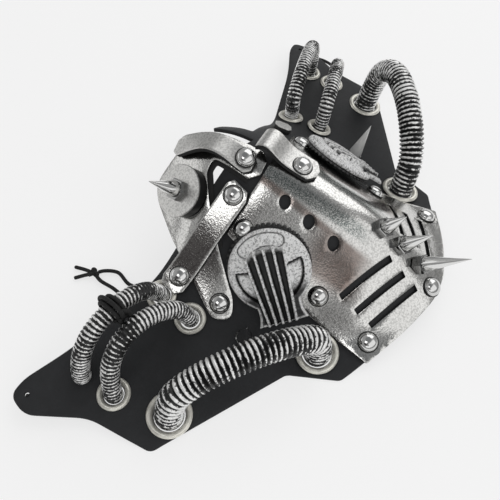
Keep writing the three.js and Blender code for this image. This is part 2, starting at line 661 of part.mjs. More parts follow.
// Elastic
function cord(name, rows, steps) {
  const stations = rows.map((row) => new THREE.Vector3(...row));
  const curve = new THREE.CatmullRomCurve3(stations, false, 'centripetal');
  // Rings follow the stations, which lie closer at the ends, and not equal lengths of cord
  curve.getSpacedPoints = curve.getPoints;
  curve.getTangentAt = curve.getTangent;
  return addPiece(name, tube(curve, cordRadius, 8, steps), looks.cord());
}
cord('elastic_long', longStrand, 30);
cord('elastic_short', shortStrand, 16);
let knotSolid = toSolid(new THREE.SphereGeometry(knotRadius, 8, 6).translate(knot.x, knot.y, knot.z));
cordTails.forEach((tail) => {
  const curve = new THREE.LineCurve3(knot, new THREE.Vector3(...tail));
  knotSolid = knotSolid.add(toSolid(tube(curve, cordRadius, 8, 1)));
});
addPiece('elastic_knot', toGeometry(knotSolid), looks.cord());

mask.position.y = -midLength;

export default mask;
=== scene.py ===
"""Visible pieces of a steampunk half mask: black and silver leather, hoses, spikes and cast medallions.

Lengths in the tables are millimetres. X is the wearer's left, Y runs from the mouth to the forehead
and Z is up from the table, so a table's Y is MID_LENGTH more than the frame's.
"""
import math
from collections import namedtuple

import bpy
import numpy as np
from bpy.props import FloatProperty, FloatVectorProperty, IntProperty, PointerProperty
from mathutils import Matrix, Vector
from mathutils.geometry import delaunay_2d_cdt


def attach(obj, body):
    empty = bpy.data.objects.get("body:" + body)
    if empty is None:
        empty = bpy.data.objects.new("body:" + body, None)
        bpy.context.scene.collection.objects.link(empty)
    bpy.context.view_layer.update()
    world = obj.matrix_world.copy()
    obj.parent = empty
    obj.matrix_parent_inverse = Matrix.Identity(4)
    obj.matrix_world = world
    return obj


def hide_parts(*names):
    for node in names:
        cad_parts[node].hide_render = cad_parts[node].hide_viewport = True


bl_info = {
    "name": "Steampunk mask",
    "version": (1, 0, 0),
    "blender": (4, 5, 0),
    "location": "View3D > Sidebar > Mask",
    "description": "Dresses the packed solids of a half mask in leather, metal and hose",
    "category": "Object",
}

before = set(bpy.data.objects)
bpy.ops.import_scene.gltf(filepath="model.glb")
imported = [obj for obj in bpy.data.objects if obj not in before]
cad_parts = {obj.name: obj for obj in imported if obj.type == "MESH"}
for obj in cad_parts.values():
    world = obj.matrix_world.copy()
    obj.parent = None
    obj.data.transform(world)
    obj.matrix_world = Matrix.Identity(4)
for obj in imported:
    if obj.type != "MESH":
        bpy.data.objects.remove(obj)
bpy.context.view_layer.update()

MM = 0.001
MID_LENGTH = 60.85
UP = Vector((0, 0, 1))
SIDES = {"right": -1, "left": 1}
FINISH_PREFIX = "finish_"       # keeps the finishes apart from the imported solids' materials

# Painted reflections on the muzzle plate: a dark brownish painted reflection along its holes, with its X at Y
# = 0 and its lean to the ridge, and a dark painted reflection in a band beside the ridge
PAINTED_BROWN_REFLECTION = (0.165, 0.118, 0.10)
BROWN_REFLECTION_X = 20.8
BROWN_REFLECTION_LEAN = 0.09
PAINTED_DARK_REFLECTION = (0.10, 0.135, 0.13)

# Stage, in metres: the camera has the photograph's view
CAMERA_SENSOR = 36
CAMERA_LENS = 39.6
CAMERA_PLACE = (-0.1840, -MID_LENGTH * MM, 0.2746)
CAMERA_RIGHT = Vector((0.4786, -0.878, 0.0))
CAMERA_UP = Vector((0.7273, 0.3965, 0.5601))
FLOOR_REACH = 3.0
FLOOR_LEVEL = -0.0002
FLOOR_GLOW = 0.68
Lamp = namedtuple("Lamp", "name place width height power")
LAMPS = [
    Lamp("side_box", (1.00, -0.08, 0.92), 1.2, 1.2, 5.4),
    Lamp("front_box", (-0.26, -1.00, 0.85), 1.6, 1.0, 3.4),
    Lamp("left_box", (-0.54, 0.08, 0.94), 0.34, 0.28, 0.65),
    Lamp("near_box", (-0.98, -0.46, 0.46), 0.7, 0.32, 0.65),
    Lamp("back_box", (-0.30, 1.15, 0.42), 1.0, 0.5, 0.9),
]
LAMP_TARGET = Vector((0, 0, 0.02))
# Colours of the surroundings, with a dark patch in the direction that the near flank mirrors
HORIZON = (0.27, 0.27, 0.27)
SKY = (0.40, 0.40, 0.40)
ZENITH = (0.23, 0.235, 0.24)
DARK_PATCH = (0.05, 0.045, 0.045)
DARK_WAY = (-0.69, 0.08, 0.72)

# The leather surface: a tent over the nose that runs out into two wings
Section = namedtuple("Section", "y ridge slope")
TENT = [
    Section(-30, 0.0, 0.30),
    Section(-17, 10.5, 0.36),
    Section(0, 23.5, 0.62),
    Section(12, 32.5, 0.80),
    Section(24, 40.0, 0.98),
    Section(37, 46.0, 1.08),
    Section(60, 53.5, 1.00),
    Section(85, 60.0, 0.86),
    Section(105, 62.0, 0.79),
    Section(113, 62.0, 0.77),
    Section(120, 61.0, 0.90),
    Section(130, 58.0, 1.00),
    Section(145, 50.0, 1.05),
    Section(160, 41.0, 1.05),
]
TENT_SMOOTHING = (-5, -2.5, 0, 2.5, 5)    # shifts along Y over which a section is averaged
RIDGE_RADIUS = 14
FOOT_BLEND = 16                 # height over which the tent runs out into the wing
WING_RISE = 0.175               # slope of the wings away from the strip they rest on
REST_THICK = 1.0                # height of a wing's low edge, which lies on the table
LOW_CORNER = np.array([147.7, 74.4])
NOTCH = np.array([81.2, 34.2])
SILVER_LIFT = 0.4               # gap between the base and the silver sheets
BASE_MESH = 3.0                 # distance between points of each kind of sheet
SILVER_MESH = 2.2
STRAP_MESH = 1.6
CAST_MESH = 0.5

# Outlines seen from above: x, y and corner radius
WING_OUTLINE = [
    (54, 115.5, 4), (72, 120.5, 6), (124, 135.5, 20), (150, 147, 8), (159.5, 147.5, 7), (163.5, 137, 7),
    (149.4, 109, 6), (*LOW_CORNER, 3), (*NOTCH, 2), (70.8, 8.3, 2), (56, 1, 1), (32, -9.5, 8),
]
# Top edge of the base from the right wing: straight under the eye, then round a tab over the nose
TOP_EDGE = [(8.1, 102.4, 1), (9, 129, 1), (18.5, 129, 1), (18, 108.5, 2)]
PLATE_OUTLINE = [
    (0, 86, 0), (12, 86.8, 6), (39.5, 93, 1.5), (41.5, 85, 4), (48.2, 39, 20), (57, 0, 1.5), (32, -11, 14),
    (9, -17.5, 6), (0, -18, 0),
]
EYE_OUTLINE = [
    (-3.5, 88, 1), (-11, 88, 1), (-15, 93, 1), (-12.8, 114.5, 3), (-18.6, 115.6, 3), (-32, 107, 6),
    (-47.4, 93.2, 20), (-62.3, 76.5, 5), (-71, 73, 5), (-76.5, 82, 6), (-65, 99.5, 4), (-53.6, 117, 12),
    (-34, 140.5, 12), (-25.5, 146, 6), (-8, 137, 12), (1, 128, 8), (0.5, 93, 1),
]
# Strip of the black backing that shows along the gap of the eye surround, from below it to just over its back
BACKING_DEPTH = 1.2
BACKING_OVER = 0.1
EYE_BACKING = [
    (-17, 93, 0.5), (-15.0, 112.4, 1), (-18.4, 113.2, 1), (-30.6, 105.0, 4), (-45.8, 91.6, 1),
    (-49, 95, 1), (-33, 109.5, 3), (-19, 118.5, 2), (-10.5, 117, 2), (-12.5, 93, 0.5),
]
PLATE_HOLES = [(-15.4, 71.2), (-16.8, 56.2), (-18.4, 40.6)]
PLATE_HOLE_RADIUS = 3.0
Slot = namedtuple("Slot", "outer inner")
PLATE_SLOTS = [
    Slot((34.8, 26.4), (8.2, 11.6)),
    Slot((37.0, 16.2), (9.4, 2.4)),
    Slot((39.1, 6.8), (10.2, -6.2)),
]
SLOT_WIDTH = 2.9
TIP_HOLE = (155.2, 141.0)
TIP_HOLE_RADIUS = 1.2
# The margin of a wing is bent down a little beyond this line
WING_CREASE = [(158, 150), (154, 139), (147.5, 110), (141, 80), (139, 66)]
CREASE_FALL = 0.13

# Straps: rise is the height of both ends, peak the place of the arch along the strap, and level turns the
# ends and the arch to the horizontal; tip is the width of the six-sided end as a share, and a blunt strap
# has only one such end. The slant is the length of a six-sided end
Strap = namedtuple("Strap", "start end width rise arch peak level tip blunt finish")
STRAPS = {
    "brow": Strap((-9.1, 92.8), (-9.6, 138.2), 12.5, (2.6, 2.6), 4.6, 0.5, (0, 0.9), 0.56, False,
                  "satin_leather"),
    "nose": Strap((2.6, 62.6), (2.4, 96), 13.7, (2.6, 5.7), 4.5, 0.82, (1, 1), 0.3, True, "satin_leather"),
    "cheek": Strap((-74.1, 108.7), (-19.1, 94.3), 14.4, (2.6, 2.6), 1.3, 0.5, (0, 0), 0.66, False,
                   "silver_leather"),
    "temple": Strap((40, 100.5), (54, 107), 11, (0.5, 0.5), 0, 0.5, (0, 0), 0.56, False, "pale_leather"),
}
STRAP_SLANT = 3.6

# Hoses: ends seen from above, then each arch with the pull of its ends, their lean along the span and the
# lean to the side, in degrees
HOSE_RADII = {"hose": 7.4, "tube_a": 4.7, "tube_b": 4.7}
HOSE_ENDS = {
    "hose": {"rear": (128.6, 75.6), "front": (63.6, 25.4)},
    "tube_a": {"rear": (134.0, 123.4), "front": (78.6, 111.6)},
    "tube_b": {"rear": (133.8, 104.8), "front": (82.0, 91.8)},
}
Arch = namedtuple("Arch", "side kind pull lean aside")
ARCHES = [
    Arch("right", "tube_a", (42, 33), (9, 18), 2),
    Arch("right", "tube_b", (46, 26), (8, 6), -11),
    Arch("right", "hose", (38, 32), (-7, -24), -5),
    Arch("left", "tube_a", (46, 32), (-16, -36), -3),
    Arch("left", "tube_b", (31, 30), (-18, -6), -7),
    Arch("left", "hose", (69, 34), (-9, -10), -11),
]
BARE_END = ("right", "tube_a", "rear")    # goes into the leather without a grommet
ARCH_STEPS = (0, 0.17, 0.33, 0.5, 0.67, 0.83, 1)
HOSE_STUB = 3.2                 # straight length over the seat of the grommet
HOSE_BURIED = 1.7               # length below that seat
HOSE_ROOM = 0.5                 # gap round a hose in its hole in the leather
BARE_ROOM = -0.3                # the same at the bare end, where the leather grips the tube
SEAT_GAP = 0.3                  # gap between a fitting and what it sits on
RINGS_PER_RIB = 8
RIB_POWER = 0.7                 # below 1 a rib's crest is broader than its groove
# Elastic wound on a tube: its place along the tube, its layers, and a loop from the middle of the winding
WRAP_ALONG = 0.53
Layer = namedtuple("Layer", "half_length reach turns first_angle")
WRAP_LAYERS = [Layer(3.0, 0.9, 2.9, 0.0), Layer(1.5, 2.7, 1.5, 1.3)]
WRAP_LOOP = [
    (0, -5.4, 3), (2.6, -8, 0), (1, -9.4, -4), (-2.4, -7.6, -5), (-1.6, -6.6, -1), (2, -7.4, -3),
    (3.4, -9, -6.5),
]

# Grommets: the kinds of hose they hold and their outer radius
Grommet = namedtuple("Grommet", "label kinds ring")
GROMMETS = [Grommet("hose", ("hose",), 11.6), Grommet("tube", ("tube_a", "tube_b"), 8.5)]
GROMMET_ROOM = 0.7              # gap round the hose
GROMMET_NECK = 1.6              # length of the neck in the leather

RIVET_RADIUS = 5.1
RIVET_HEIGHT = 3.5
RIVET_BURIED = 0.4
RIVET_RIM = 0.35                # height at which the dome starts

DISC_RADIUS = 14.2
DISC_THICK = 1.4
PAD_HEIGHT = 5.8

# Spikes: a foot of that many sides, and a cone with a straight rim over a narrower neck
SPIKE_BURIED = 1.2
SPIKE_NECK = 0.5
SPIKE_RIM = 1.4
SPIKE_POINT = 0.12              # radius at the blunt tip
SPIKE_SPIN = 0.4                # turn of the nuts, in radians
SpikeFoot = namedtuple("SpikeFoot", "radius height sides cone")
SPIKE_FEET = {
    "mouth": SpikeFoot(5.6, 4.0, 6, 4.1),
    "wing": SpikeFoot(4.5, 1.2, 40, 4.1),
    "eye": SpikeFoot(6.2, 2.8, 6, 4.3),
}

# Elastic: middle line of both strands, with the knot that joins them
LONG_STRAND = [
    (155.2, 141, 9.4), (155.2, 141, 5.8), (160, 135.5, 2.6), (162.5, 122, 1.4), (157.5, 111, 1.3),
    (146, 105, 1.25), (126, 107, 1.3), (98, 111, 1.3), (55, 113, 1.3), (0, 114, 1.3), (-40, 119, 1.3),
    (-70, 125, 1.3), (-76, 137, 1.3), (-72.6, 148.5, 1.4), (-75.4, 155.4, 1.9), (-78.3, 158.3, 2.25),
]
SHORT_STRAND = [
    (-155.2, 141, 9.4), (-155.2, 141, 5.8), (-150, 136.5, 2.4), (-132, 130, 1.3), (-104, 129.5, 1.3),
    (-86, 134, 1.3), (-82.8, 143, 1.3), (-82.1, 153.8, 1.9), (-80.8, 157.7, 2.25),
]
STRAND_STEPS = {"elastic_long": 420, "elastic_short": 130}
KNOT = (-80, 160, 2.3)
KNOT_SIZE = 1.25
CORD_TAILS = [(-81.5, 173, 1.3), (-87.8, 168.5, 1.3)]
CORD_END = 0.72                 # radius of a cut end as a share
BRAID_TURN = 0.9                # turn of the weave from one ring of points to the next

# Medallions, on their own face: +Y points to the round head
MEDALLION = {"x": 43.6, "y": 64.6, "turn": 47, "radius": 22, "waist": 12, "tail_half": 13.5, "tail_reach": 29}
MEDALLION_RECESS = [
    (-11.4, 9), (-5.6, 12.2), (0, 12.8), (5, 12.4), (10.2, 9.6), (9.4, -4), (7.4, -28.9), (-9, -28.9),
    (-10.4, -8),
]
# Heights of the casting over its back, and half the width of a step from one to the next
CAST_FACE = 2.7
CAST_FLOOR = 0.7
CAST_CROWN = 4.4
CAST_DOME = 2.0
CAST_STEP = 0.3
CAST_EDGE = 0.35
CAST_SIDE_RUB = 0.6             # brightness of the casting's side
# A bean near the head's rim and a panel on each side, with turns in degrees
BEAN = {"middle": 16.5, "half": 3.1, "first": 60, "last": 127}
PANEL = {"rim": 18.1, "inner": 8, "low": -62.0, "high": 10.0}
FIN_COUNT = 5
FIN_SPREAD = 5.2
FIN_HALF = 0.85
RING_THICK = 1.7
RING_RADIUS = 22.6
RING_TOWARD_HEAD = 1.8
RING_TEETH = 48


# Settings that a user would change
class MaskSizes(bpy.types.PropertyGroup):
    """Sizes of the visible pieces."""

    leather: FloatProperty(name="Base leather", description="Thickness of the black sheet", default=0.002,
                           min=0.001, max=0.004, unit="LENGTH")
    silver: FloatProperty(name="Silver leather", description="Thickness of the plate and the eye surround",
                          default=0.0015, min=0.001, max=0.003, unit="LENGTH")
    strap: FloatProperty(name="Straps", description="Thickness of the straps with their backing",
                         default=0.0028, min=0.001, max=0.004, unit="LENGTH")
    edge: FloatProperty(name="Cut edge", description="Rounding of a cut leather edge", default=0.0003,
                        min=0.0001, max=0.0006, unit="LENGTH")
    hose_pitch: FloatProperty(name="Hose ribs", description="Distance between ribs of the big hoses",
                              default=0.0027, min=0.002, max=0.008, unit="LENGTH")
    tube_pitch: FloatProperty(name="Tube ribs", description="Distance between ribs of the thin tubes",
                              default=0.0021, min=0.0015, max=0.006, unit="LENGTH")
    groove: FloatProperty(name="Groove", description="Depth of a groove as a share of the hose's radius",
                          default=0.2, min=0.05, max=0.4, subtype="FACTOR")
    cord: FloatProperty(name="Elastic", description="Diameter of the elastic", default=0.0022, min=0.001,
                        max=0.004, unit="LENGTH")
    hose_sides: IntProperty(name="Hose sides", description="Corners round a hose", default=28, min=12, max=48)


class MaskColours(bpy.types.PropertyGroup):
    """Colours of the finishes."""

    leather: FloatVectorProperty(name="Black leather", description="Colour of the base", subtype="COLOR",
                                 default=(0.022, 0.023, 0.025), min=0, max=1)
    silver: FloatVectorProperty(name="Silver leather", description="Colour of the metallised leather",
                                subtype="COLOR", default=(0.74, 0.735, 0.715), min=0, max=1)
    chrome: FloatVectorProperty(name="Chrome", description="Colour of rivets and spikes", subtype="COLOR",
                                default=(0.80, 0.80, 0.79), min=0, max=1)
    nickel: FloatVectorProperty(name="Nickel", description="Colour of the grommets", subtype="COLOR",
                                default=(0.90, 0.88, 0.80), min=0, max=1)
    pewter: FloatVectorProperty(name="Pewter", description="Colour of the cast medallions", subtype="COLOR",
                                default=(0.80, 0.80, 0.795), min=0, max=1)
    hose: FloatVectorProperty(name="Hose ribs", description="Silver rubbed on the ribs", subtype="COLOR",
                              default=(0.95, 0.95, 0.94), min=0, max=1)
    black: FloatVectorProperty(name="Black", description="Rubber, elastic, cut edges and grooves",
                               subtype="COLOR", default=(0.012, 0.012, 0.012), min=0, max=1)
    floor: FloatVectorProperty(name="Floor", description="Colour of the floor", subtype="COLOR",
                               default=(0.32, 0.32, 0.32), min=0, max=1)


# Node trees: sums on sockets read as expressions
class Wire:
    """An output socket that can stand in a sum."""

    def __init__(self, tree, socket):
        self.tree = tree
        self.socket = socket

    def math(self, operation, *terms):
        return add(self.tree, "ShaderNodeMath", {"operation": operation}, dict(enumerate(terms)))

    def __add__(self, other):
        return self.math("ADD", self, other)

    def __sub__(self, other):
        return self.math("SUBTRACT", self, other)

    def __rsub__(self, other):
        return self.math("SUBTRACT", other, self)

    def __mul__(self, other):
        return self.math("MULTIPLY", self, other)

    def __truediv__(self, other):
        return self.math("DIVIDE", self, other)

    def __pow__(self, other):
        return self.math("POWER", self, other)

    __radd__ = __add__
    __rmul__ = __mul__

    def cosine(self):
        return self.math("COSINE", self)

    def absolute(self):
        return self.math("ABSOLUTE", self)

    def most(self, other):
        return self.math("MAXIMUM", self, other)

    def ease(self, low, high):
        """0 below low, 1 above high and smooth between them."""
        sockets = {"Value": self, "From Min": low, "From Max": high}
        return add(self.tree, "ShaderNodeMapRange", {"interpolation_type": "SMOOTHSTEP"}, sockets)


def add(tree, kind, settings=None, sockets=None, out=0):
    """Adds a node with its settings, then the values or links of its sockets."""
    node = tree.nodes.new(kind)
    for key, value in (settings or {}).items():
        setattr(node, key, value)
    for key, value in (sockets or {}).items():
        if isinstance(value, Wire):
            tree.links.new(value.socket, node.inputs[key])
        else:
            node.inputs[key].default_value = value
    return Wire(tree, node.outputs[out])


def blend(share, low, high):
    """Mix of two colours, each a wire or three numbers; the wire share is how much of the second one."""
    sides = [side if isinstance(side, Wire) else (*side, 1) for side in (low, high)]
    sockets = {0: share, 6: sides[0], 7: sides[1]}
    return add(share.tree, "ShaderNodeMix", {"data_type": "RGBA"}, sockets, 2)


class Finish:
    """A material with its Principled shader and the pattern helpers that the finishes share."""

    def __init__(self, name):
        self.material = bpy.data.materials.new(FINISH_PREFIX + name)
        self.material.use_nodes = True
        self.tree = self.material.node_tree
        self.shader = self.tree.nodes["Principled BSDF"]
        self.at = add(self.tree, "ShaderNodeTexCoord", out="Object")

    def noise(self, size, detail, roughness=0.55):
        sockets = {"Vector": self.at, "Scale": 1 / (size * MM), "Detail": detail, "Roughness": roughness}
        return add(self.tree, "ShaderNodeTexNoise", None, sockets)

    def cells(self, size):
        sockets = {"Vector": self.at, "Scale": 1 / (size * MM)}
        return add(self.tree, "ShaderNodeTexVoronoi", {"feature": "SMOOTH_F1"}, sockets, "Distance")

    def position(self, axis):
        """One coordinate in the frame, in millimetres."""
        return add(self.tree, "ShaderNodeSeparateXYZ", None, {"Vector": self.at}, axis) / MM

    def attribute(self, name):
        return add(self.tree, "ShaderNodeAttribute", {"attribute_name": name}, None, "Fac")

    def bump(self, height, depth, strength):
        sockets = {"Height": height, "Distance": depth * MM, "Strength": strength}
        return add(self.tree, "ShaderNodeBump", None, sockets)

    def set(self, sockets):
        for key, value in sockets.items():
            if isinstance(value, Wire):
                self.tree.links.new(value.socket, self.shader.inputs[key])
            else:
                self.shader.inputs[key].default_value = value
        return self.material


def shade(colour, factor):
    return tuple(min(1, channel * factor) for channel in colour)


def black_leather(colours):
    finish = Finish("black_leather")
    grain = finish.cells(1.1)
    soft = finish.noise(26, 4)
    fine = finish.noise(0.35, 2)
    dust = finish.noise(7, 5).ease(0.45, 0.85)
    colour = blend(soft.ease(0.3, 0.75), shade(colours.leather, 0.85), shade(colours.leather, 1.2))
    colour = blend(dust * 0.25, colour, shade(colours.leather, 1.9))
    return finish.set({
        "Base Color": colour,
        "Roughness": 0.5 + 0.14 * soft + 0.1 * grain,
        "Specular IOR Level": 0.35,
        "Normal": finish.bump(grain + 0.5 * fine, 0.06, 0.7),
    })


def with_painted_reflections(finish, colour, soft, fine):
    """The plate's colour with painted reflections on both flanks: dark brownish along and below its holes,
    dark beside the ridge.
    """
    x = finish.position(0).absolute()
    y = finish.position(1) + MID_LENGTH
    # Where the painted dark brownish reflection lies: along the holes and below them
    along_holes = 1 - (x - (BROWN_REFLECTION_X - BROWN_REFLECTION_LEAN * y)).absolute().ease(0.6, 3.2)
    below_holes = (1 - y.ease(42, 60)) * x.ease(14, 18) * (1 - x.ease(32, 40))
    brown_reflection = along_holes.most(below_holes) * y.ease(13, 27)
    # Painted dark reflection in a band beside the ridge, speckled by the fine noise
    dark_reflection = x.ease(4, 7) * (1 - x.ease(11, 13.5)) * y.ease(20, 34)
    colour = blend(dark_reflection * (0.15 + 0.75 * fine.ease(0.42, 0.6)), colour, PAINTED_DARK_REFLECTION)
    return blend(brown_reflection * (0.5 + 0.6 * soft), colour, PAINTED_BROWN_REFLECTION)


def silver_leather(colours, name="silver_leather", painted_reflections=False, satin=0.0, metallic=1.0):
    finish = Finish(name)
    grain = finish.cells(0.9)
    fine = finish.noise(0.6, 2, 0.6)
    soft = finish.noise(18, 4)
    scuff = finish.noise(2.2, 5, 0.7).ease(0.56, 0.8)
    # Painted shade in the valleys of the grain
    painted_valley_shade = (grain + 0.5 * fine).ease(0.5, 0.95)
    colour = blend(soft.ease(0.3, 0.7), shade(colours.silver, 0.9), colours.silver)
    colour = blend(scuff * 0.3, colour, shade(colours.silver, 0.72))
    # Painted reflections on the plate: dark brownish along the holes, dark beside the ridge
    if painted_reflections:
        colour = with_painted_reflections(finish, colour, soft, fine)
    # Darkens the grain's valleys with painted shade
    colour = blend(painted_valley_shade * 0.36, colour, shade(colours.silver, 0.2))
    return finish.set({
        "Base Color": colour,
        "Metallic": metallic,
        "Roughness": satin + 0.12 + 0.06 * soft + 0.06 * scuff,
        "Normal": finish.bump(grain + 0.7 * fine, 0.045, 1.0),
    })


def plate_leather(colours):
    # The silver leather with painted reflections on it
    return silver_leather(colours, "plate_leather", painted_reflections=True)


def satin_leather(colours):
    return silver_leather(colours, "satin_leather", satin=0.2)


def pale_leather(colours):
    return silver_leather(colours, "pale_leather", satin=0.3, metallic=0.3)


def cut_edge(colours):
    finish = Finish("cut_edge")
    fibre = finish.noise(0.5, 4, 0.7)
    colour = blend(fibre, shade(colours.black, 0.7), shade(colours.black, 1.8))
    return finish.set({"Base Color": colour, "Roughness": 0.72, "Normal": finish.bump(fibre, 0.08, 0.5)})


def chrome(colours, name="chrome", tone=1.0, rough=0.05, metallic=1.0):
    finish = Finish(name)
    smudge = finish.noise(3.0, 4)
    scratch = finish.noise(0.5, 2)
    colour = blend(smudge, shade(colours.chrome, 0.93 * tone), shade(colours.chrome, tone))
    return finish.set({
        "Base Color": colour,
        "Metallic": metallic,
        "Roughness": rough + 0.1 * smudge,
        "Normal": finish.bump(scratch, 0.01, 0.3),
    })


def dark_steel(colours):
    return chrome(colours, "dark_steel", tone=0.42)


# A lighter, less metallic copy of the chrome for one spike: painted light, so that it looks lit
def bright_steel(colours):
    return chrome(colours, "bright_steel", tone=1.15, rough=0.16, metallic=0.25)


def worn_steel(colours):
    return chrome(colours, "worn_steel", tone=0.85, rough=0.06)


def nickel(colours):
    finish = Finish("nickel")
    cloud = finish.noise(4.0, 4)
    pits = finish.noise(0.7, 3, 0.6)
    colour = blend(cloud.ease(0.35, 0.65), shade(colours.nickel, 0.76), colours.nickel)
    return finish.set({
        "Base Color": colour,
        "Metallic": 0.5,
        "Roughness": 0.22 + 0.16 * pits,
        "Normal": finish.bump(pits, 0.04, 0.35),
    })


def pewter(colours):
    finish = Finish("pewter")
    pits = finish.noise(1.2, 4, 0.75)
    cloud = finish.noise(5.0, 3)
    rubbed = finish.attribute("rubbed")
    # Dark patina and painted shade where the casting is not rubbed
    patina_and_painted_shade = (1 - rubbed) * (0.72 + 0.5 * pits)
    colour = blend(cloud, shade(colours.pewter, 1.08), shade(colours.pewter, 1.22))
    colour = blend(pits.ease(0.47, 0.63) * 0.8, colour, shade(colours.pewter, 0.2))
    colour = blend(patina_and_painted_shade.ease(0.1, 0.95), colour, colours.black)
    return finish.set({
        "Base Color": colour,
        "Metallic": 0.04 + 0.08 * rubbed,
        "Roughness": 0.34 + 0.2 * pits,
        "Normal": finish.bump(1 - pits, 0.3, 0.8),
    })


def ribbed_hose(colours):
    finish = Finish("ribbed_hose")
    crest = finish.attribute("crest")
    patch = finish.noise(15, 3)
    speck = finish.noise(1.8, 4, 0.75)
    rubbed = (1.2 * crest + 2.6 * speck + 2.6 * patch).ease(3.4, 3.65) * crest.ease(0.3, 0.6)
    colour = blend(rubbed, shade(colours.black, 0.8), colours.hose)
    return finish.set({
        "Base Color": colour,
        "Metallic": 0.65 * rubbed,
        "Roughness": 0.3 + 0.14 * speck,
        "Normal": finish.bump(speck, 0.12, 0.6),
    })


def black_rubber(colours):
    finish = Finish("black_rubber")
    bloom = finish.noise(3, 4)
    colour = blend(bloom, shade(colours.black, 0.8), shade(colours.black, 1.6))
    return finish.set({"Base Color": colour, "Roughness": 0.24 + 0.16 * bloom, "Specular IOR Level": 0.5})


def elastic(colours):
    finish = Finish("elastic")
    braid = finish.attribute("braid")
    fuzz = finish.noise(0.4, 3, 0.7)
    colour = blend(braid, shade(colours.black, 0.5), shade(colours.black, 1.5))
    return finish.set({
        "Base Color": colour,
        "Roughness": 0.74 + 0.1 * fuzz,
        "Normal": finish.bump(braid + 0.4 * fuzz, 0.12, 0.6),
    })


def studio_floor(colours):
    finish = Finish("studio_floor")
    cloud = finish.noise(300, 2)
    x = finish.position(0)
    y = finish.position(1)
    away = ((x * x + y * y) ** 0.5).ease(450, 2600)
    colour = blend(cloud, shade(colours.floor, 0.995), colours.floor)
    return finish.set({
        "Base Color": colour,
        "Roughness": 0.85,
        "Specular IOR Level": 0.1,
        "Emission Color": blend(away, (1, 1, 1), (0.5, 0.5, 0.5)),
        "Emission Strength": FLOOR_GLOW,
    })


FINISHES = {make.__name__: make for make in (
    black_leather, silver_leather, plate_leather, satin_leather, pale_leather, cut_edge, chrome, dark_steel,
    bright_steel, worn_steel, nickel, pewter, ribbed_hose, black_rubber, elastic, studio_floor,
)}


def material(name):
    """The named finish, made once."""
    return bpy.data.materials.get(FINISH_PREFIX + name) or FINISHES[name](bpy.context.scene.mask_colours)


# Meshes and objects
def new_mesh(name, vertices, faces, edges=()):
    mesh = bpy.data.meshes.new(name)
    mesh.from_pydata(vertices, edges, faces)
    return mesh


def new_object(name, data):
    """An object at the origin, linked to the scene."""
    made = bpy.data.objects.new(name, data)
    bpy.context.scene.collection.objects.link(made)
    return made


def store(mesh, name, values):
    """Keeps a number for each point of a mesh, for its finish to read."""
    stored = mesh.attributes.new(name, "FLOAT", "POINT")
    stored.data.foreach_set("value", np.asarray(values, np.float32))


# The leather surface
def to_frame(points):
    """Points of the tables in the frame's metres."""
    return (np.asarray(points, float) - (0, MID_LENGTH, 0)) * MM


def section(y, key):
    stations = [row.y for row in TENT]
    values = [getattr(row, key) for row in TENT]
    return np.mean([np.interp(y + shift, stations, values) for shift in TENT_SMOOTHING], axis=0)


ALONG_EDGE = (NOTCH - LOW_CORNER) / np.linalg.norm(NOTCH - LOW_CORNER)
ACROSS_EDGE = np.array([ALONG_EDGE[1], -ALONG_EDGE[0]])


def surface_height(flat):
    x, y = flat[:, 0], flat[:, 1]
    outward = np.hypot(x, RIDGE_RADIUS) - RIDGE_RADIUS
    tent = section(y, "ridge") - section(y, "slope") * outward
    inward = (np.stack([np.abs(x), y], axis=1) - LOW_CORNER) @ ACROSS_EDGE
    wing = REST_THICK + WING_RISE * np.maximum(0, inward)
    near = np.maximum(0, 1 - np.abs(tent - wing) / FOOT_BLEND)
    return np.maximum(tent, wing) + FOOT_BLEND * near * near / 4


def surface_normal(flat):
    step = 0.5
    slopes = []
    for shift in ((step, 0), (0, step)):
        slopes.append((surface_height(flat + shift) - surface_height(flat - shift)) / (2 * step))
    normal = np.stack([-slopes[0], -slopes[1], np.ones(len(flat))], axis=1)
    return normal / np.linalg.norm(normal, axis=1, keepdims=True)


def skin(flat, lift):
    """Points over the leather surface, lifted along its normal."""
    flat = np.atleast_2d(np.asarray(flat, float))
    points = np.column_stack([flat, surface_height(flat)])
    return points + surface_normal(flat) * np.reshape(lift, (-1, 1))


# Flat cuts and the sheets made from them
def rounded(rows, steps=7):
    """Closed outline of corners given as x, y and corner radius."""
    corners = np.array([row[:2] for row in rows], float)
    points = []
    for i, row in enumerate(rows):
        here = corners[i]
        before = corners[i - 1] - here
        after = corners[(i + 1) % len(rows)] - here
        spans = np.linalg.norm(before), np.linalg.norm(after)
        reach = min(row[2], 0.45 * spans[0], 0.45 * spans[1])
        if reach == 0:
            points.append(here)
            continue
        enter = here + before * reach / spans[0]
        leave = here + after * reach / spans[1]
        for t in np.linspace(0, 1, steps):
            points.append((1 - t) ** 2 * enter + 2 * t * (1 - t) * here + t * t * leave)
    return np.array(points)


def both_sides(half):
    other = [(-x, y, radius) for x, y, radius in reversed(half) if x != 0]
    return list(half) + other


def circle(x, y, radius, count=24):
    turns = np.linspace(0, 2 * math.pi, count, endpoint=False)
    return np.column_stack([x + radius * np.cos(turns), y + radius * np.sin(turns)])


def densified(loop, step):
    """The loop with points added, so that none is further than step from the next."""
    points = []
    for here, after in zip(loop, np.roll(loop, -1, axis=0)):
        count = max(1, math.ceil(np.linalg.norm(after - here) / step))
        points.extend(here + (after - here) * i / count for i in range(count))
    return np.array(points)


def inside(points, loops):
    """True where a point lies inside an odd number of loops."""
    odd = np.zeros(len(points), bool)
    for loop in loops:
        for (ax, ay), (bx, by) in zip(loop, np.roll(loop, -1, axis=0)):
            if ay == by:
                continue
            crosses = (ay > points[:, 1]) != (by > points[:, 1])
            odd ^= crosses & (points[:, 0] < (bx - ax) * (points[:, 1] - ay) / (by - ay) + ax)
    return odd


def distance_to(points, rim):
    """Distance from each point to the nearest point of a rim."""
    return np.array([np.min(np.hypot(*(rim - point).T)) for point in points])


Cut = namedtuple("Cut", "points triangles rim outward")


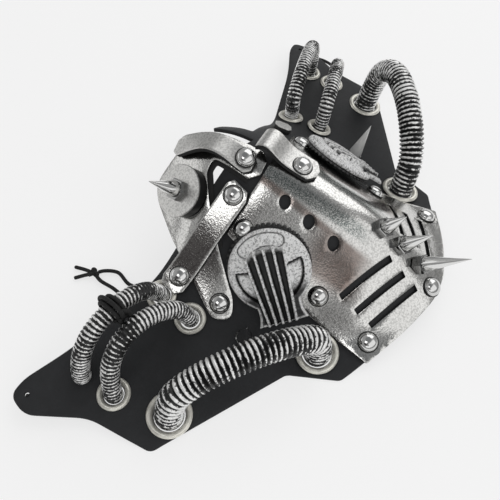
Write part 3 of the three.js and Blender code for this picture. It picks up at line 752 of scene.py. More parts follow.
def flat_cut(loops, step):
    """Triangles of a flat cut with its outline first and then its holes."""
    rims = [densified(loop, step) for loop in loops]
    edges = []
    start = 0
    for rim in rims:
        count = len(rim)
        edges.extend((start + i, start + (i + 1) % count) for i in range(count))
        start += count
    rim_points = np.concatenate(rims)
    low, high = rims[0].min(axis=0), rims[0].max(axis=0)
    rows = np.arange(low[1], high[1], step * 0.87)
    grid = [(x + (i % 2) * step / 2, y) for i, y in enumerate(rows) for x in np.arange(low[0], high[0], step)]
    grid = np.array(grid)
    grid = grid[inside(grid, rims)]
    grid = grid[distance_to(grid, rim_points) > 0.6 * step]
    seeds = [Vector(point) for point in np.concatenate([rim_points, grid])]
    found = delaunay_2d_cdt(seeds, edges, [], 0, 1e-6)
    points = np.array([tuple(point) for point in found[0]])
    triangles = np.array([face for face in found[2] if len(face) == 3])
    triangles = triangles[inside(points[triangles].mean(axis=1), rims)]
    a, b, c = (points[triangles[:, k]] for k in range(3))
    turn = (b[:, 0] - a[:, 0]) * (c[:, 1] - a[:, 1]) - (b[:, 1] - a[:, 1]) * (c[:, 0] - a[:, 0])
    triangles[turn < 0] = triangles[turn < 0][:, ::-1]
    used = np.unique(triangles)
    renumber = np.zeros(len(points), int)
    renumber[used] = np.arange(len(used))
    points, triangles = points[used], renumber[triangles]
    directed = {(t[k], t[(k + 1) % 3]) for t in triangles for k in range(3)}
    rim = sorted(edge for edge in directed if edge[::-1] not in directed)
    outward = np.zeros_like(points)
    for a, b in rim:
        along = points[b] - points[a]
        out = np.array([along[1], -along[0]]) / np.linalg.norm(along)
        outward[a] += out
        outward[b] += out
    lengths = np.linalg.norm(outward, axis=1, keepdims=True)
    return Cut(points, triangles, rim, outward / np.maximum(lengths, 1e-9))


def sheet_mesh(name, cut, place, low, high, edge):
    """Closed sheet over a cut: place(points, lift) bends it, and its cut edge is rounded."""
    lift = [np.broadcast_to(np.asarray(value, float), len(cut.points)) for value in (low, high)]
    inset = cut.points - edge * cut.outward
    rounding = [(1, 0), (0.3, 0.3), (0, 1)]
    layers = [(back * edge, lift[1] - fall * edge) for back, fall in rounding]
    layers += [(back * edge, lift[0] + fall * edge) for back, fall in reversed(rounding)]
    count = len(cut.points)
    top = place(inset, layers[0][1])
    bottom = place(inset, layers[-1][1])
    rim_points = sorted({a for a, _ in cut.rim})
    rank = {point: i for i, point in enumerate(rim_points)}
    rings = [place(cut.points[rim_points] - back * cut.outward[rim_points], height[rim_points])
             for back, height in layers[1:-1]]
    vertices = np.concatenate([top, bottom, *rings])
    numbers = [list(rim_points)]
    for i in range(len(rings)):
        start = 2 * count + i * len(rim_points)
        numbers.append([start + rank[point] for point in rim_points])
    numbers.append([count + point for point in rim_points])
    faces = [tuple(t) for t in cut.triangles]
    faces += [tuple(count + t[::-1]) for t in cut.triangles]
    for upper, lower in zip(numbers, numbers[1:]):
        faces += [(upper[rank[b]], upper[rank[a]], lower[rank[a]], lower[rank[b]]) for a, b in cut.rim]
    mesh = new_mesh(name, to_frame(vertices).tolist(), [tuple(int(i) for i in face) for face in faces])
    under = np.ones(len(faces), np.int32)
    under[:len(cut.triangles)] = 0
    under[2 * len(cut.triangles):][:2 * len(cut.rim)] = 0
    mesh.polygons.foreach_set("material_index", under)
    return mesh


# Turned and swept shapes
def place_on(foot, axis, spin=0.0):
    """Matrix that stands a shape on a foot point along an axis."""
    turn = UP.rotation_difference(Vector(axis)).to_matrix().to_4x4()
    return Matrix.Translation(Vector(foot)) @ turn @ Matrix.Rotation(spin, 4, "Z")


def turned_mesh(name, profile, sides=40):
    """Solid of revolution round Z: the profile's rows are radius and height, in millimetres."""
    vertices = []
    rows = []
    for radius, height in profile:
        if radius == 0:
            rows.append([len(vertices)] * sides)
            vertices.append((0, 0, height * MM))
            continue
        rows.append([len(vertices) + i for i in range(sides)])
        for i in range(sides):
            turn = 2 * math.pi * i / sides
            vertices.append((radius * math.cos(turn) * MM, radius * math.sin(turn) * MM, height * MM))
    faces = []
    for lower, upper in zip(rows, rows[1:]):
        for i in range(sides):
            j = (i + 1) % sides
            corners = [lower[i], lower[j], upper[j], upper[i]]
            faces.append(tuple(dict.fromkeys(corners)))
    return new_mesh(name, vertices, faces)


def catmull(rows, count, per_span=24):
    """Points along a smooth curve through the rows, at even lengths."""
    rows = np.array(rows, float)
    ends = [2 * rows[0] - rows[1], 2 * rows[-1] - rows[-2]]
    rows = np.concatenate([ends[:1], rows, ends[1:]])
    points = []
    for p0, p1, p2, p3 in zip(rows, rows[1:], rows[2:], rows[3:]):
        knots = np.cumsum([0] + [max(np.linalg.norm(b - a), 1e-6) ** 0.5
                                 for a, b in ((p0, p1), (p1, p2), (p2, p3))])
        for t in np.linspace(knots[1], knots[2], per_span, endpoint=False):
            def between(a, b, i, j):
                return ((knots[j] - t) * a + (t - knots[i]) * b) / (knots[j] - knots[i])
            a1, a2, a3 = between(p0, p1, 0, 1), between(p1, p2, 1, 2), between(p2, p3, 2, 3)
            points.append(between(between(a1, a2, 0, 2), between(a2, a3, 1, 3), 1, 2))
    points.append(rows[-2])
    points = np.array(points)
    lengths = np.concatenate([[0], np.cumsum(np.linalg.norm(np.diff(points, axis=0), axis=1))])
    even = np.linspace(0, lengths[-1], count)
    return np.column_stack([np.interp(even, lengths, points[:, k]) for k in range(3)])


def path_length(points):
    return float(np.linalg.norm(np.diff(points, axis=0), axis=1).sum())


def frames_along(points):
    """Two directions across a path at each point, turned as little as possible from one to the next."""
    tangents = np.gradient(points, axis=0)
    tangents /= np.linalg.norm(tangents, axis=1, keepdims=True)
    first = np.cross(tangents[0], (0, 0, 1) if abs(tangents[0][2]) < 0.9 else (1, 0, 0))
    across = [first / np.linalg.norm(first)]
    for tangent in tangents[1:]:
        turned = across[-1] - tangent * (across[-1] @ tangent)
        across.append(turned / np.linalg.norm(turned))
    across = np.array(across)
    return across, np.cross(tangents, across)


def swept_mesh(name, points, radius, sides=12):
    """Round cord along points of the tables, with the weave of a braid as an attribute."""
    across, over = frames_along(points)
    turns = np.linspace(0, 2 * math.pi, sides, endpoint=False)
    count = len(points)
    swell = np.ones(count)
    swell[[0, -1]] = CORD_END
    rings = [point + radius * grow * (np.outer(np.cos(turns), a) + np.outer(np.sin(turns), b))
             for point, a, b, grow in zip(points, across, over, swell)]
    vertices = np.concatenate(rings)
    faces = []
    for i in range(count - 1):
        for k in range(sides):
            j = (k + 1) % sides
            faces.append((i * sides + k, i * sides + j, (i + 1) * sides + j, (i + 1) * sides + k))
    faces.append(tuple(reversed(range(sides))))
    faces.append(tuple(range((count - 1) * sides, count * sides)))
    mesh = new_mesh(name, to_frame(vertices).tolist(), faces)
    along = BRAID_TURN * np.repeat(np.arange(count), sides)
    around = 3 * np.tile(turns, count)
    store(mesh, "braid", 0.5 + 0.5 * np.cos(around + along) * np.cos(around - along))
    return mesh


# Pieces
def add_piece(name, mesh, finishes, nodes, sharp=32):
    """Links a finished mesh, which rides on the mask and stands for its solids."""
    mesh.name = name
    if not mesh.materials:
        for finish in finishes:
            mesh.materials.append(material(finish))
    mesh.shade_smooth()
    mesh.set_sharp_from_angle(angle=math.radians(sharp))
    piece = new_object(name, mesh)
    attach(piece, "root")
    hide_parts(*nodes)
    return piece


def in_finish(mesh, index):
    """The mesh with all its faces in one of its piece's finishes."""
    mesh.polygons.foreach_set("material_index", np.full(len(mesh.polygons), index, np.int32))
    return mesh


def joined(name, meshes):
    """One mesh of several, with the finish of each face and the weave of cords."""
    vertices, faces, finishes, weave, start = [], [], [], [], 0
    for mesh in meshes:
        if "braid" in mesh.attributes:
            weave.extend(point.value for point in mesh.attributes["braid"].data)
        vertices.extend(tuple(vertex.co) for vertex in mesh.vertices)
        faces.extend(tuple(start + i for i in polygon.vertices) for polygon in mesh.polygons)
        finishes.extend(polygon.material_index for polygon in mesh.polygons)
        start = len(vertices)
        bpy.data.meshes.remove(mesh)
    result = new_mesh(name, vertices, faces)
    result.polygons.foreach_set("material_index", np.array(finishes, np.int32))
    if weave:
        store(result, "braid", weave)
    return result


def corners_of(node):
    """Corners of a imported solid, each one once."""
    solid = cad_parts[node]
    co = np.zeros(len(solid.data.vertices) * 3, np.float32)
    solid.data.vertices.foreach_get("co", co)
    return np.unique(np.round(co.reshape(-1, 3).astype(float), 6), axis=0)


def seat_of(node):
    """Foot point and axis of a turned solid, from the spread of its corners."""
    corners = corners_of(node)
    centre = corners.mean(axis=0)
    values, vectors = np.linalg.eigh(np.cov((corners - centre).T))
    odd = 0 if values[1] - values[0] > values[2] - values[1] else 2
    axis = vectors[:, odd] * np.sign(vectors[2, odd])
    return centre + axis * ((corners - centre) @ axis).min(), axis


def nodes_like(*starts):
    return sorted(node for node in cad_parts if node.startswith(starts))


# Node trees for what repeats
def new_tree(name, sockets):
    """Node tree with named inputs; gives the tree and its inputs as wires."""
    tree = bpy.data.node_groups.new(name, "GeometryNodeTree")
    tree.interface.new_socket("Geometry", in_out="OUTPUT", socket_type="NodeSocketGeometry")
    for label, kind in sockets.items():
        tree.interface.new_socket(label, in_out="INPUT", socket_type=kind)
    entry = tree.nodes.new("NodeGroupInput")
    return tree, {label: Wire(tree, entry.outputs[label]) for label in sockets}


def end_tree(tree, geometry, finish):
    """Realizes what the tree made, gives it its finish and leads it out."""
    solid = add(tree, "GeometryNodeRealizeInstances", None, {"Geometry": geometry})
    done = add(tree, "GeometryNodeSetMaterial", None, {"Geometry": solid, "Material": finish})
    leave = tree.nodes.new("NodeGroupOutput")
    tree.links.new(done.socket, leave.inputs["Geometry"])
    return tree


def fittings_tree():
    """Sets one fitting on each point, along the point's axis."""
    tree, entry = new_tree("fittings_tree", {
        "Geometry": "NodeSocketGeometry", "Fitting": "NodeSocketObject", "Material": "NodeSocketMaterial",
    })
    axis = add(tree, "GeometryNodeInputNamedAttribute", {"data_type": "FLOAT_VECTOR"}, {"Name": "axis"})
    turn = add(tree, "FunctionNodeAlignRotationToVector", {"axis": "Z"}, {"Vector": axis})
    shape = add(tree, "GeometryNodeObjectInfo", None, {"Object": entry["Fitting"]}, "Geometry")
    sockets = {"Points": entry["Geometry"], "Instance": shape, "Rotation": turn}
    placed = add(tree, "GeometryNodeInstanceOnPoints", None, sockets)
    return end_tree(tree, placed, entry["Material"])


def hose_tree():
    """Ribbed hose along a line of points, with the height of its ribs as an attribute."""
    tree, entry = new_tree("hose_tree", {
        "Geometry": "NodeSocketGeometry", "Radius": "NodeSocketFloat", "Pitch": "NodeSocketFloat",
        "Groove": "NodeSocketFloat", "Sides": "NodeSocketInt", "Material": "NodeSocketMaterial",
    })
    line = add(tree, "GeometryNodeMeshToCurve", None, {"Mesh": entry["Geometry"]})
    sockets = {"Curve": line, "Length": entry["Pitch"] / RINGS_PER_RIB}
    line = add(tree, "GeometryNodeResampleCurve", {"mode": "LENGTH"}, sockets)
    length = add(tree, "GeometryNodeSplineParameter", None, None, "Length")
    wave = 0.5 + 0.5 * (length / entry["Pitch"] * (2 * math.pi)).cosine()
    crest = wave ** RIB_POWER
    sockets = {"Geometry": line, "Name": "crest", "Value": crest}
    line = add(tree, "GeometryNodeStoreNamedAttribute", {"data_type": "FLOAT", "domain": "POINT"}, sockets)
    ring = add(tree, "GeometryNodeCurvePrimitiveCircle", None, {"Resolution": entry["Sides"], "Radius": 1.0})
    grow = entry["Radius"] * (1 - entry["Groove"] * (1 - crest))
    sockets = {"Curve": line, "Profile Curve": ring, "Scale": grow, "Fill Caps": True}
    hose = add(tree, "GeometryNodeCurveToMesh", None, sockets)
    return end_tree(tree, hose, entry["Material"])


TREES = {make.__name__: make for make in (fittings_tree, hose_tree)}


def grown(source, tree_name, values):
    """Plain mesh that a node tree makes from a source mesh."""
    tree = bpy.data.node_groups.get(tree_name) or TREES[tree_name]()
    carrier = new_object("carrier", source)
    modifier = carrier.modifiers.new("grow", "NODES")
    modifier.node_group = tree
    for item in tree.interface.items_tree:
        if item.name in values:
            modifier[item.identifier] = values[item.name]
    graph = bpy.context.evaluated_depsgraph_get()
    mesh = bpy.data.meshes.new_from_object(carrier.evaluated_get(graph), depsgraph=graph)
    bpy.data.objects.remove(carrier)
    bpy.data.meshes.remove(source)
    return mesh


def set_fittings(points, axes, shape, finish):
    """Mesh of one turned shape set on each point along its axis."""
    source = new_mesh("points", [tuple(point) for point in points], [])
    values = source.attributes.new("axis", "FLOAT_VECTOR", "POINT")
    values.data.foreach_set("vector", np.asarray(axes, np.float32).ravel())
    fitting = new_object("fitting", shape)
    mesh = grown(source, "fittings_tree", {"Fitting": fitting, "Material": material(finish)})
    bpy.data.objects.remove(fitting)
    bpy.data.meshes.remove(shape)
    return mesh


# Operators
class MaskOperator:
    """What the operators share: an undo step and a finished result."""

    bl_options = {"REGISTER", "UNDO"}

    def execute(self, context):
        self.make(context.scene.mask_sizes)
        return {"FINISHED"}


class MASK_OT_stage(MaskOperator, bpy.types.Operator):
    """Camera, floor and soft studio light"""

    bl_idname = "mask.stage"
    bl_label = "Stage"

    def make(self, sizes):
        scene = bpy.context.scene
        scene.view_settings.view_transform = "Standard"
        self.camera(scene)
        self.floor()
        self.lights()
        self.world(scene)

    def camera(self, scene):
        data = bpy.data.cameras.new("camera")
        data.sensor_width = CAMERA_SENSOR
        data.lens = CAMERA_LENS
        turn = Matrix((CAMERA_RIGHT, CAMERA_UP, CAMERA_RIGHT.cross(CAMERA_UP))).transposed().to_4x4()
        scene.camera = new_object("camera", data)
        scene.camera.matrix_world = Matrix.Translation(CAMERA_PLACE) @ turn

    def floor(self):
        reach = FLOOR_REACH
        corners = [(-reach, -reach), (reach, -reach), (reach, reach), (-reach, reach)]
        mesh = new_mesh("floor", [(x, y, FLOOR_LEVEL) for x, y in corners], [(0, 1, 2, 3)])
        mesh.materials.append(material("studio_floor"))
        floor = new_object("floor", mesh)

    def lights(self):
        for lamp in LAMPS:
            data = bpy.data.lights.new(lamp.name, "AREA")
            data.shape = "RECTANGLE"
            data.size = lamp.width
            data.size_y = lamp.height
            data.energy = lamp.power
            light = new_object(lamp.name, data)
            light.location = lamp.place
            light.rotation_euler = (LAMP_TARGET - light.location).to_track_quat("-Z", "Y").to_euler()

    def world(self, scene):
        scene.world = bpy.data.worlds.new("studio")
        scene.world.use_nodes = True
        tree = scene.world.node_tree
        way = add(tree, "ShaderNodeTexCoord", None, None, "Generated")
        sockets = {0: way, 1: DARK_WAY}
        near = add(tree, "ShaderNodeVectorMath", {"operation": "DOT_PRODUCT"}, sockets, "Value")
        high = add(tree, "ShaderNodeSeparateXYZ", None, {"Vector": way}, 2)
        colour = blend(high.ease(0.0, 0.5), HORIZON, SKY)
        colour = blend(high.ease(0.86, 0.97), colour, ZENITH)
        colour = blend(near.ease(0.925, 0.998), colour, DARK_PATCH)
        tree.links.new(colour.socket, tree.nodes["Background"].inputs["Color"])


class MASK_OT_elastic(MaskOperator, bpy.types.Operator):
    """Elastic cord with its knot and tails"""

    bl_idname = "mask.elastic"
    bl_label = "Elastic"

    def make(self, sizes):
        radius = sizes.cord / MM / 2
        knot = self.knot(radius)
        strands = {"elastic_long": (LONG_STRAND, [knot]), "elastic_short": (SHORT_STRAND, [])}
        for name, (rows, pieces) in strands.items():
            points = catmull(rows, STRAND_STEPS[name])
            mesh = swept_mesh(name + "_cord", points, radius)
            cord = add_piece(name + "_cord", mesh, ["elastic"], [name], 60)

    def knot(self, radius):
        """A trefoil of the cord, with two tails."""
        turns = np.linspace(0, 2 * math.pi, 90)
        loop = np.column_stack([
            KNOT[0] + KNOT_SIZE * (np.sin(turns) + 1.1 * np.sin(2 * turns)),
            KNOT[1] + KNOT_SIZE * (np.cos(turns) - 1.1 * np.cos(2 * turns)),
            KNOT[2] + 0.75 * -np.sin(3 * turns) + 0.15,
        ])
        parts = [swept_mesh("loop", loop, radius * 0.95)]
        for x, y, z in CORD_TAILS:
            middle = ((KNOT[0] + x) / 2 + 0.5, (KNOT[1] + y) / 2, 1.5)
            parts.append(swept_mesh("tail", catmull([KNOT, middle, (x, y, z)], 24), radius))
        mesh = joined("knot", parts)
        return add_piece("elastic_knot_tied", mesh, ["elastic"], ["elastic_knot"], 60)


class MASK_OT_base(MaskOperator, bpy.types.Operator):
    """Black leather base with its wings"""

    bl_idname = "mask.base"
    bl_label = "Leather base"

    def make(self, sizes):
        outline = rounded(both_sides(WING_OUTLINE)[:-1] + TOP_EDGE)
        loops = [outline]
        for side, sign in SIDES.items():
            loops.append(circle(sign * TIP_HOLE[0], TIP_HOLE[1], TIP_HOLE_RADIUS, 16))
            for kind, ends in HOSE_ENDS.items():
                for end, (x, y) in ends.items():
                    room = BARE_ROOM if (side, kind, end) == BARE_END else HOSE_ROOM
                    loops.append(circle(sign * x, y, HOSE_RADII[kind] + room, 28))
        cut = flat_cut(loops, BASE_MESH)
        mesh = sheet_mesh("base", cut, self.bend, -sizes.leather / MM, 0, sizes.edge / MM)
        add_piece("leather_base", mesh, ["black_leather", "cut_edge"], ["base"])

    def bend(self, points, lift):
        bent = skin(points, lift)
        line = np.array(WING_CREASE)
        edge_x = np.interp(points[:, 1], line[::-1, 1], line[::-1, 0])
        beyond = np.maximum(0, np.abs(points[:, 0]) - edge_x)
        bent[:, 2] -= CREASE_FALL * beyond * (points[:, 1] > line[-1, 1])
        bent[:, 2] = np.maximum(bent[:, 2], 0)
        return bent


class MASK_OT_silver(MaskOperator, bpy.types.Operator):
    """Silver muzzle plate and eye surround"""

    bl_idname = "mask.silver"
    bl_label = "Silver leather"

    def make(self, sizes):
        edge = sizes.edge / MM
        top = SILVER_LIFT + sizes.silver / MM
        loops = [rounded(both_sides(PLATE_OUTLINE))]
        loops += [circle(x, y, PLATE_HOLE_RADIUS) for x, y in PLATE_HOLES]
        for sign in SIDES.values():
            loops += [self.slot(sign, slot) for slot in PLATE_SLOTS]
        mesh = sheet_mesh("plate", flat_cut(loops, SILVER_MESH), skin, SILVER_LIFT, top, edge)
        add_piece("silver_plate", mesh, ["plate_leather", "cut_edge"], ["muzzle_plate"])
        mesh = sheet_mesh("eye", flat_cut([rounded(EYE_OUTLINE)], SILVER_MESH), skin, SILVER_LIFT, top, edge)
        cut = flat_cut([rounded(EYE_BACKING)], STRAP_MESH)
        strip = sheet_mesh("strip", cut, skin, -BACKING_DEPTH, SILVER_LIFT + BACKING_OVER, edge)
        mesh = joined("eye", [mesh, in_finish(strip, 1)])
        add_piece("eye_surround", mesh, ["silver_leather", "cut_edge"], ["eye_piece"])

    def slot(self, sign, slot):
        outer = np.array((sign * slot.outer[0], slot.outer[1]))
        inner = np.array((sign * slot.inner[0], slot.inner[1]))
        along = (inner - outer) / np.linalg.norm(inner - outer)
        across = np.array((-along[1], along[0])) * SLOT_WIDTH / 2
        corners = [outer - across, inner - across, inner + across, outer + across]
        return rounded([(x, y, 0.3) for x, y in corners], 3)


class MASK_OT_straps(MaskOperator, bpy.types.Operator):
    """Silver straps over brow, nose, cheek and temple"""

    bl_idname = "mask.straps"
    bl_label = "Straps"

    def make(self, sizes):
        for name, strap in STRAPS.items():
            length = math.dist(strap.start, strap.end)
            half = strap.width / 2
            tip = strap.tip * half
            corners = [(0, -tip), (STRAP_SLANT, -half)]
            corners += [(length, -half)] if strap.blunt else [(length - STRAP_SLANT, -half), (length, -tip)]
            corners += [(x, -y) for x, y in reversed(corners)]
            cut = flat_cut([rounded([(x, y, 0.5) for x, y in corners], 4)], STRAP_MESH)
            bend = self.bender(strap, length)
            mesh = sheet_mesh(name, cut, bend, 0, sizes.strap / MM, sizes.edge / MM)
            add_piece(f"{name}_band", mesh, [strap.finish, "cut_edge"], [f"{name}_strap"])

    def bender(self, strap, length):
        start = np.array(strap.start)
        along = (np.array(strap.end) - start) / length
        across = np.array((along[1], -along[0]))
        skew = math.log(0.5) / math.log(strap.peak)

        def middle(run):
            bulge = np.sin(math.pi * np.clip(run / length, 0, 1) ** skew) ** 2
            flat = start + np.outer(run, along)
            points = skin(flat, np.interp(np.clip(run / length, 0, 1) ** 3, (0, 1), strap.rise))
            points[:, 2] += strap.arch * bulge
            return flat, points, bulge

        def bend(points, lift):
            flat, centre, bulge = middle(points[:, 0])
            fall = surface_height(flat + across) - surface_height(flat)
            turn = np.interp(bulge, (0, 1), strap.level)
            side = np.column_stack([np.tile(across, (len(flat), 1)), fall * (1 - turn)])
            side /= np.linalg.norm(side, axis=1, keepdims=True)
            ahead = middle(points[:, 0] + 1)[1] - middle(points[:, 0] - 1)[1]
            normal = np.cross(side, ahead)
            normal /= np.linalg.norm(normal, axis=1, keepdims=True)
            return centre + side * points[:, 1:2] + normal * np.reshape(lift, (-1, 1))

        return bend


class MASK_OT_eye_disc(MaskOperator, bpy.types.Operator):
    """Disc on its black pad over the eye"""

    bl_idname = "mask.eye_disc"
    bl_label = "Eye disc"

    def make(self, sizes):
        radius, top = DISC_RADIUS, PAD_HEIGHT
        side = radius - 0.6
        pad = [(0, 0), (side - 0.4, 0), (side, 0.4), (side, top - 0.4), (side - 0.4, top), (0, top)]
        rings = [(r, DISC_THICK) for r in np.linspace(radius - 0.4, 0, 12)]
        disc = [(0, 0), (radius - 0.3, 0), (radius, 0.3), (radius, DISC_THICK - 0.3), *rings]
        for name, node, profile, finish, slot in (
            ("disc_pad", "eye_pad", pad, "black_rubber", "black_rubber"),
            ("silver_disc", "eye_disc", disc, "satin_leather", "silver_leather"),
        ):
            mesh = turned_mesh(name, profile, 72)
            mesh.transform(place_on(*seat_of(node)))
            add_piece(name, mesh, [finish], [node])


class MASK_OT_grommets(MaskOperator, bpy.types.Operator):
    """Grommets round the hose ends"""

    bl_idname = "mask.grommets"
    bl_label = "Grommets"

    def make(self, sizes):
        for label, kinds, ring in GROMMETS:
            nodes = [node for node in nodes_like("grommet_") if node.split("_", 2)[2].startswith(kinds)]
            points, axes = zip(*[seat_of(node) for node in nodes])
            inner = HOSE_RADII[kinds[0]] + GROMMET_ROOM
            low = -GROMMET_NECK
            profile = [(inner, low), (inner + 0.8, low), (inner + 1, -0.1), (ring - 0.2, 0), (ring, 0.2),
                       (ring - 0.3, 0.8), (ring - 1.0, 1.3), ((inner + ring) / 2, 1.5), (inner + 1.1, 1.35),
                       (inner + 0.5, 0.9), (inner + 0.15, 0.2), (inner, low)]
            mesh = set_fittings(points, axes, turned_mesh("grommet", profile, 48), "nickel")
            add_piece(f"{label}_grommets", mesh, ["nickel"], nodes, 50)


class MASK_OT_rivets(MaskOperator, bpy.types.Operator):
    """Domed rivets"""

    bl_idname = "mask.rivets"
    bl_label = "Rivets"

    def make(self, sizes):
        nodes = nodes_like("rivet_")
        points, axes = zip(*[seat_of(node) for node in nodes])
        radius, low = RIVET_RADIUS, -RIVET_BURIED
        rise = RIVET_HEIGHT - RIVET_RIM
        turns = np.linspace(0, math.pi / 2, 11)
        dome = [(0.97 * radius * math.cos(t), RIVET_RIM + rise * math.sin(t)) for t in turns[:-1]]
        cap = [(0, low), (radius * 0.9, low), (radius, 0.0), (radius, 0.25), *dome, (0, RIVET_HEIGHT)]
        # A thin black ring round the foot of each rivet: a painted contact shadow
        seat = [(0, low), (radius + 0.4, low), (radius + 0.5, -0.1), (radius + 0.3, 0.1), (0, 0.1)]
        finishes = ["worn_steel", "cut_edge"]
        parts = []
        for index, profile in enumerate((cap, seat)):
            mesh = set_fittings(points, axes, turned_mesh("rivet", profile, 36), finishes[index])
            parts.append(in_finish(mesh, index))
        add_piece("rivets", joined("rivets", parts), finishes, nodes, 60)


class MASK_OT_spikes(MaskOperator, bpy.types.Operator):
    """Chrome spikes, those over mouth and eye on hexagon nuts"""

    bl_idname = "mask.spikes"
    bl_label = "Spikes"

    def make(self, sizes):
        nodes = nodes_like("spike_")
        mesh = joined("spikes", [self.spike(node) for node in nodes])
        add_piece("spikes", mesh, ["chrome", "dark_steel", "bright_steel"], nodes, 28)

    def spike(self, node):
        """Foot and cone, as long as the solid; the left wing's cone has a lighter, less metallic copy of the
        chrome as painted light.
        """
        seat, axis = seat_of(node)
        length = float(((corners_of(node) - seat) @ axis).max()) / MM
        row = SPIKE_FEET[node.split("_")[1]]
        wide, tall, cone = row.radius, row.height, row.cone
        foot = [(0, -SPIKE_BURIED), (wide, -SPIKE_BURIED), (wide, tall - 0.35), (wide - 0.4, tall), (0, tall)]
        neck = cone - SPIKE_NECK
        rim = tall + SPIKE_RIM
        body = [(0, tall - 0.5), (neck, tall - 0.5), (neck, tall + 0.35), (cone, tall + 0.6), (cone, rim)]
        for t in (0.33, 0.66, 1):
            body.append((cone * (1 - t) + SPIKE_POINT * t, rim + (length - 0.1 - rim) * t))
        body.append((0, length))
        mesh = joined("spike", [
            in_finish(turned_mesh("foot", foot, row.sides), 1),
            in_finish(turned_mesh("cone", body), 2 if node == "spike_wing_left" else 0),
        ])
        mesh.transform(place_on(seat, axis, SPIKE_SPIN))
        return mesh


class MASK_OT_medallions(MaskOperator, bpy.types.Operator):
    """Cast medallions on their toothed backing rings"""

    bl_idname = "mask.medallions"
    bl_label = "Medallions"

    def make(self, sizes):
        outline = self.outline()
        cut = flat_cut([outline], CAST_MESH)
        rim = densified(outline, 0.4)
        heights, cast_rub_and_painted_shade = self.relief(cut.points, distance_to(cut.points, rim))
        for side, sign in SIDES.items():
            ring_place, head_place = self.places(side, sign)
            mirror = Matrix.Diagonal((-sign, 1, 1, 1))
            mesh = in_finish(sheet_mesh("medallion", cut, self.flat, 0, heights, CAST_EDGE), 0)
            # The face's rubbed brightness, with its patina and painted shade; the sides take CAST_SIDE_RUB
            rubbed = np.full(len(mesh.vertices), CAST_SIDE_RUB)
            rubbed[:len(cut.points)] = cast_rub_and_painted_shade
            store(mesh, "rubbed", rubbed)
            mesh.transform(head_place @ mirror)
            if sign > 0:
                mesh.flip_normals()
            add_piece(f"medallion_cast_{side}", mesh, ["pewter"], [f"medallion_{side}"], 70)
            self.ring(side, ring_place @ mirror)

    def flat(self, points, lift):
        lifted = np.column_stack([points, np.broadcast_to(lift, len(points))])
        return lifted + (0, MID_LENGTH, 0)

    def outline(self):
        radius, waist = MEDALLION["radius"], MEDALLION["waist"]
        half, reach = MEDALLION["tail_half"], MEDALLION["tail_reach"]
        gap = math.asin(waist / radius)
        turns = np.linspace(-math.pi / 2 + gap, 1.5 * math.pi - gap, 90)
        head = np.column_stack([radius * np.cos(turns), radius * np.sin(turns)])
        start = np.array((waist, -radius * math.cos(gap)))
        pull = np.array((waist - 1, (start[1] - reach) / 2))
        tail = np.array((half, -reach))
        t = np.linspace(0, 1, 12, endpoint=False)[:, None]
        side = (1 - t) ** 2 * tail + 2 * t * (1 - t) * pull + t * t * start
        other = side[::-1] * (-1, 1)
        return np.concatenate([side, head, other])

    def relief(self, points, to_edge):
        """Height of the casting over its back, and how bright it is rubbed, with dark patina and painted
        shade in its hollows.
        """
        x, y = points.T
        heights = CAST_FACE - 1.2 * np.clip(1 - to_edge / 1.3, 0, 1) ** 2
        bean = self.to_bean(x, y)
        groove = self.share(np.abs(bean - 0.3) - 0.35)
        heights += 0.4 * self.share(bean) - groove
        in_panel, trench = self.panels(x, y)
        heights -= np.where(in_panel, 0.4, 0) + 1.7 * trench
        recess = np.array(MEDALLION_RECESS, float)
        depth = distance_to(points, densified(recess, 0.5)) * np.where(inside(points, [recess]), -1, 1)
        ramp = np.clip((11.8 - y - 0.03 * x * x) / 3, 0, 1)
        heights += (CAST_FACE - 0.2 + (CAST_FLOOR - CAST_FACE) * ramp - heights) * self.share(depth)
        for number in range(FIN_COUNT):
            heights += (CAST_CROWN - heights) * self.share(self.to_fin(points, number))
        # In the recess only the fins' tops stay bright: their sides and the floor, darker as it deepens,
        # carry patina and painted shade
        recess_rub_and_painted_shade = np.maximum(np.clip((heights - CAST_CROWN + 0.35) / 0.3, 0, 1), 0.6 * (1 - ramp))
        tail = np.clip((-y - 6) / 8, 0, 1) * np.clip((to_edge - 0.9) / 0.6, 0, 1)
        # Darker in the panels' trenches and the bean's groove (patina and painted shade) and over the middle
        # of the tail
        rub_and_painted_shade = (1 - 0.95 * np.maximum(trench, 0.8 * groove)) * (1 - 0.9 * tail)
        heights += CAST_DOME * np.clip(1 - (np.hypot(x, y) / MEDALLION["radius"]) ** 2, 0, 1)
        return heights, np.where(depth < 0, recess_rub_and_painted_shade, rub_and_painted_shade)

    def share(self, distance):
        """1 well inside a form, 0 well outside it."""
        part = np.clip(0.5 - distance / (2 * CAST_STEP), 0, 1)
        return part * part * (3 - 2 * part)

    def to_bean(self, x, y):
        """Distance to the bean, below 0 inside it."""
        middle, first, last = BEAN["middle"], BEAN["first"], BEAN["last"]
        angle = np.degrees(np.arctan2(y, x))
        ends = [(middle * math.cos(turn), middle * math.sin(turn)) for turn in np.radians((first, last))]
        to_ends = np.min([np.hypot(x - ex, y - ey) for ex, ey in ends], axis=0)
        to_line = np.abs(np.hypot(x, y) - middle)
        return np.where((angle > first) & (angle < last), to_line, to_ends) - BEAN["half"]

    def panels(self, x, y):
        """Where the side panels lie, and the trench along their rim and their upper end."""
        radius, turn = np.hypot(x, y), np.degrees(np.arctan2(y, np.abs(x)))
        in_panel = (np.abs(x) > PANEL["inner"]) & (turn < PANEL["high"]) & (turn > PANEL["low"])
        in_panel &= radius < PANEL["rim"]
        to_end = radius * np.sin(np.radians(np.clip(PANEL["high"] - turn, 0, 90)))
        to_side = np.minimum(PANEL["rim"] - radius, to_end)
        return in_panel, np.where(in_panel, np.clip(1.5 - to_side / 1.3, 0, 1), 0)

